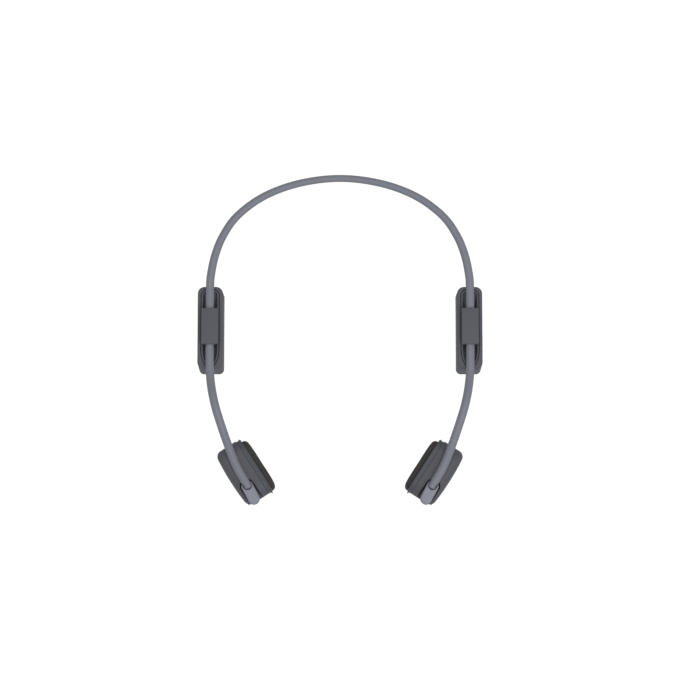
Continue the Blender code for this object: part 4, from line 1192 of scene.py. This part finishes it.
# %% Pad rings
PAD_MIDDLE = (11.5, 6.5)
PAD_SIZE = (19.8, 27.9, 5.0)
PAD_BACK_X, PAD_FACE_X = -9.44, -12.0
PAD_EDGE_DEPTH, PAD_EDGE_INSET = 2.0, 2.2
PAD_CORE = 0.04
FLAT_FROM = 9  # the ring from which the map is the face itself


def pad_profile():
    """(x, inset, share, run) from the back to the face's middle; run is the cloth's length."""
    found = [(PAD_BACK_X, 0.12, 1.0), (PAD_BACK_X - 0.2, 0.02, 1.0)]
    for angle in arc(8):
        x = PAD_FACE_X + PAD_EDGE_DEPTH * (1 - sin(angle))
        found.append((x, PAD_EDGE_INSET * (1 - cos(angle)), 1.0))
    found += [(PAD_FACE_X, PAD_EDGE_INSET, 1 - (1 - PAD_CORE) * step / 10) for step in range(1, 11)]
    runs, half = [0.0], PAD_SIZE[0] / 2
    for (x0, inset0, share0), (x1, inset1, share1) in zip(found, found[1:]):
        across = (half - inset0) * share0 - (half - inset1) * share1
        runs.append(runs[-1] + hypot(x1 - x0, across))
    return [(*level, run) for level, run in zip(found, runs)]


def pad_mesh():
    profile = pad_profile()
    rings, spots = [], []
    for x, inset, share, run in profile:
        size = [side * share for side in shrunk(PAD_SIZE, inset, 0.3)]
        rings.append(facing(rectangle(*size, PAD_MIDDLE), x))
        spread = profile[FLAT_FROM][3] - run
        if spread > 0:
            size = shrunk(PAD_SIZE, PAD_EDGE_INSET - spread)
        spots += rectangle(*size, PAD_MIDDLE)
    mesh = loft(rings)
    layer = mesh.uv_layers.new(name="unrolled")
    for index, loop in enumerate(mesh.loops):
        layer.data[index].uv = spots[loop.vertex_index]
    print("pad:", len(rings), "rings")
    return mesh

# %% Fill the pad
CLOTH_SCALE = 0.05
CLOTH_FRAMES = 20
MOST_MOVE = 0.4
HELD_DEPTH = 0.35
CLOTH = {
    "vertex_group_mass": "held", "use_pressure": True, "uniform_pressure_force": 12.0,
    "tension_stiffness": 15.0, "compression_stiffness": 15.0, "bending_stiffness": 0.5,
}


def fill_pad(mesh):
    """Blows the pad up a little by pressure, with its back held."""
    rest = [vertex.co.copy() for vertex in mesh.vertices]
    holder = bench(mesh.copy())
    holder.data.transform(Matrix.Diagonal((CLOTH_SCALE,) * 3 + (1.0,)))
    held = holder.vertex_groups.new(name="held")
    held.add([i for i, co in enumerate(rest) if co.x > PAD_BACK_X - HELD_DEPTH], 1.0, "REPLACE")
    cloth = holder.modifiers.new("filling", "CLOTH")
    for key, value in CLOTH.items():
        setattr(cloth.settings, key, value)
    cloth.settings.effector_weights.gravity = 0.0
    cloth.collision_settings.use_collision = False
    cloth.point_cache.frame_start, cloth.point_cache.frame_end = 1, CLOTH_FRAMES
    for number in range(1, CLOTH_FRAMES + 1):
        bpy.context.scene.frame_set(number)
    filled = flatten(holder)
    bpy.context.scene.frame_set(1)
    moves = [v.co / CLOTH_SCALE - start for v, start in zip(filled.vertices, rest)]
    most = max(move.length for move in moves)
    share = min(1.0, MOST_MOVE / most)
    for vertex, start, move in zip(mesh.vertices, rest, moves):
        vertex.co = start + share * move
    print("cloth moved the pad by", round(most, 2), "mm, of which kept", round(share * most, 2))
    return mesh

# %% The tree that raises the weave
def make_weave_tree():
    sizes = {"Pitch": WEAVE_PITCH, "Height": 0.05}
    tree, given, result = new_geometry_tree("raised_weave", "Pad", sizes)
    kind = "GeometryNodeInputNamedAttribute"
    spot = add_node(tree, kind, {"Name": "unrolled"}, data_type="FLOAT_VECTOR")
    height = times(tree, crossed_waves(tree, spot, given["Pitch"]), given["Height"])
    offset = scaled(tree, add_node(tree, "GeometryNodeInputNormal"), height)
    pad = add_node(tree, "GeometryNodeSetPosition", {"Geometry": given["Pad"], "Offset": offset})
    return end_geometry_tree(tree, given, result, pad)

# %% Both contact pads
soft_pad = pad_mesh()
soft_pad = fill_pad(soft_pad)
finer = bench(soft_pad)
smooth = finer.modifiers.new("finer", "SUBSURF")
smooth.levels = smooth.render_levels = 2
soft_pad = grow(make_weave_tree(), flatten(finer), "mesh_pad")
for ear in SIDE_OF:
    pad = (f"{ear}_contact_pad_cushion", soft_pad.copy(), POD_PLACE[ear])
    pad = add_piece(*pad, "mesh_pad", f"{ear}_pod", f"{ear}_contact_pad", smooth_angle=80)

# %% [markdown]
# ## Knuckles
#
# The knuckle is moulded on the band's end in the same silicone. Seen from above it is a
# stadium with round ends; the band lies in a pocket in its top that ends in a U. Loft rings
# with a rounded upper edge give its body, and the pocket and the pin's bore are cut from it.

# %% Knuckles
KNUCKLE_BACK, KNUCKLE_FRONT, KNUCKLE_RADIUS = (0.2, -0.3), (0.75, -7.0), 2.9
KNUCKLE_LOW, KNUCKLE_TOP, KNUCKLE_EDGE = 19.3, 26.9, 1.0
POCKET_RADIUS = SIDE_RADIUS + 0.14
POCKET_END_Y, POCKET_OPEN_Y = -2.3, 6.0
BORE_TOP = 22.5


def stadium(inset):
    """A closed outline round two circles, counter-clockwise."""
    radius = KNUCKLE_RADIUS - inset
    outline = []
    for middle, start in ((KNUCKLE_BACK, 0.0), (KNUCKLE_FRONT, pi)):
        outline += half_circle(middle, radius, start)
    return outline


def pocket(flare):
    """The U round the band's end, widened by flare."""
    radius = POCKET_RADIUS + flare
    outline = half_circle((0, POCKET_END_Y + POCKET_RADIUS), radius, pi)
    return outline + [(radius, POCKET_OPEN_Y), (-radius, POCKET_OPEN_Y)]


def knuckle():
    rings = [upright(stadium(0.4), KNUCKLE_LOW), upright(stadium(0.0), KNUCKLE_LOW + 0.4)]
    rings += [upright(stadium(inset), z) for z, inset in rounded(KNUCKLE_TOP, KNUCKLE_EDGE, 8)]
    low = POD_BAND_Z - POCKET_RADIUS - KNUCKLE_TOP
    levels = [(low, 0.0), (-0.7, 0.0), (-0.35, 0.1), (-0.1, 0.28), (0.1, 0.5), (OVERCUT, 0.5)]
    tool = loft([upright(pocket(flare), KNUCKLE_TOP + up) for up, flare in levels])
    return carve(loft(rings), [tool, rod(PIN_BORE, KNUCKLE_LOW - OVERCUT, BORE_TOP, 0.0)])


# The knuckle's finish is the band's silicone painted lighter, as a painted highlight.
both_ears("knuckle", knuckle, POD_PLACE, "knuckle_silicone", "arm", slot="band_silicone")
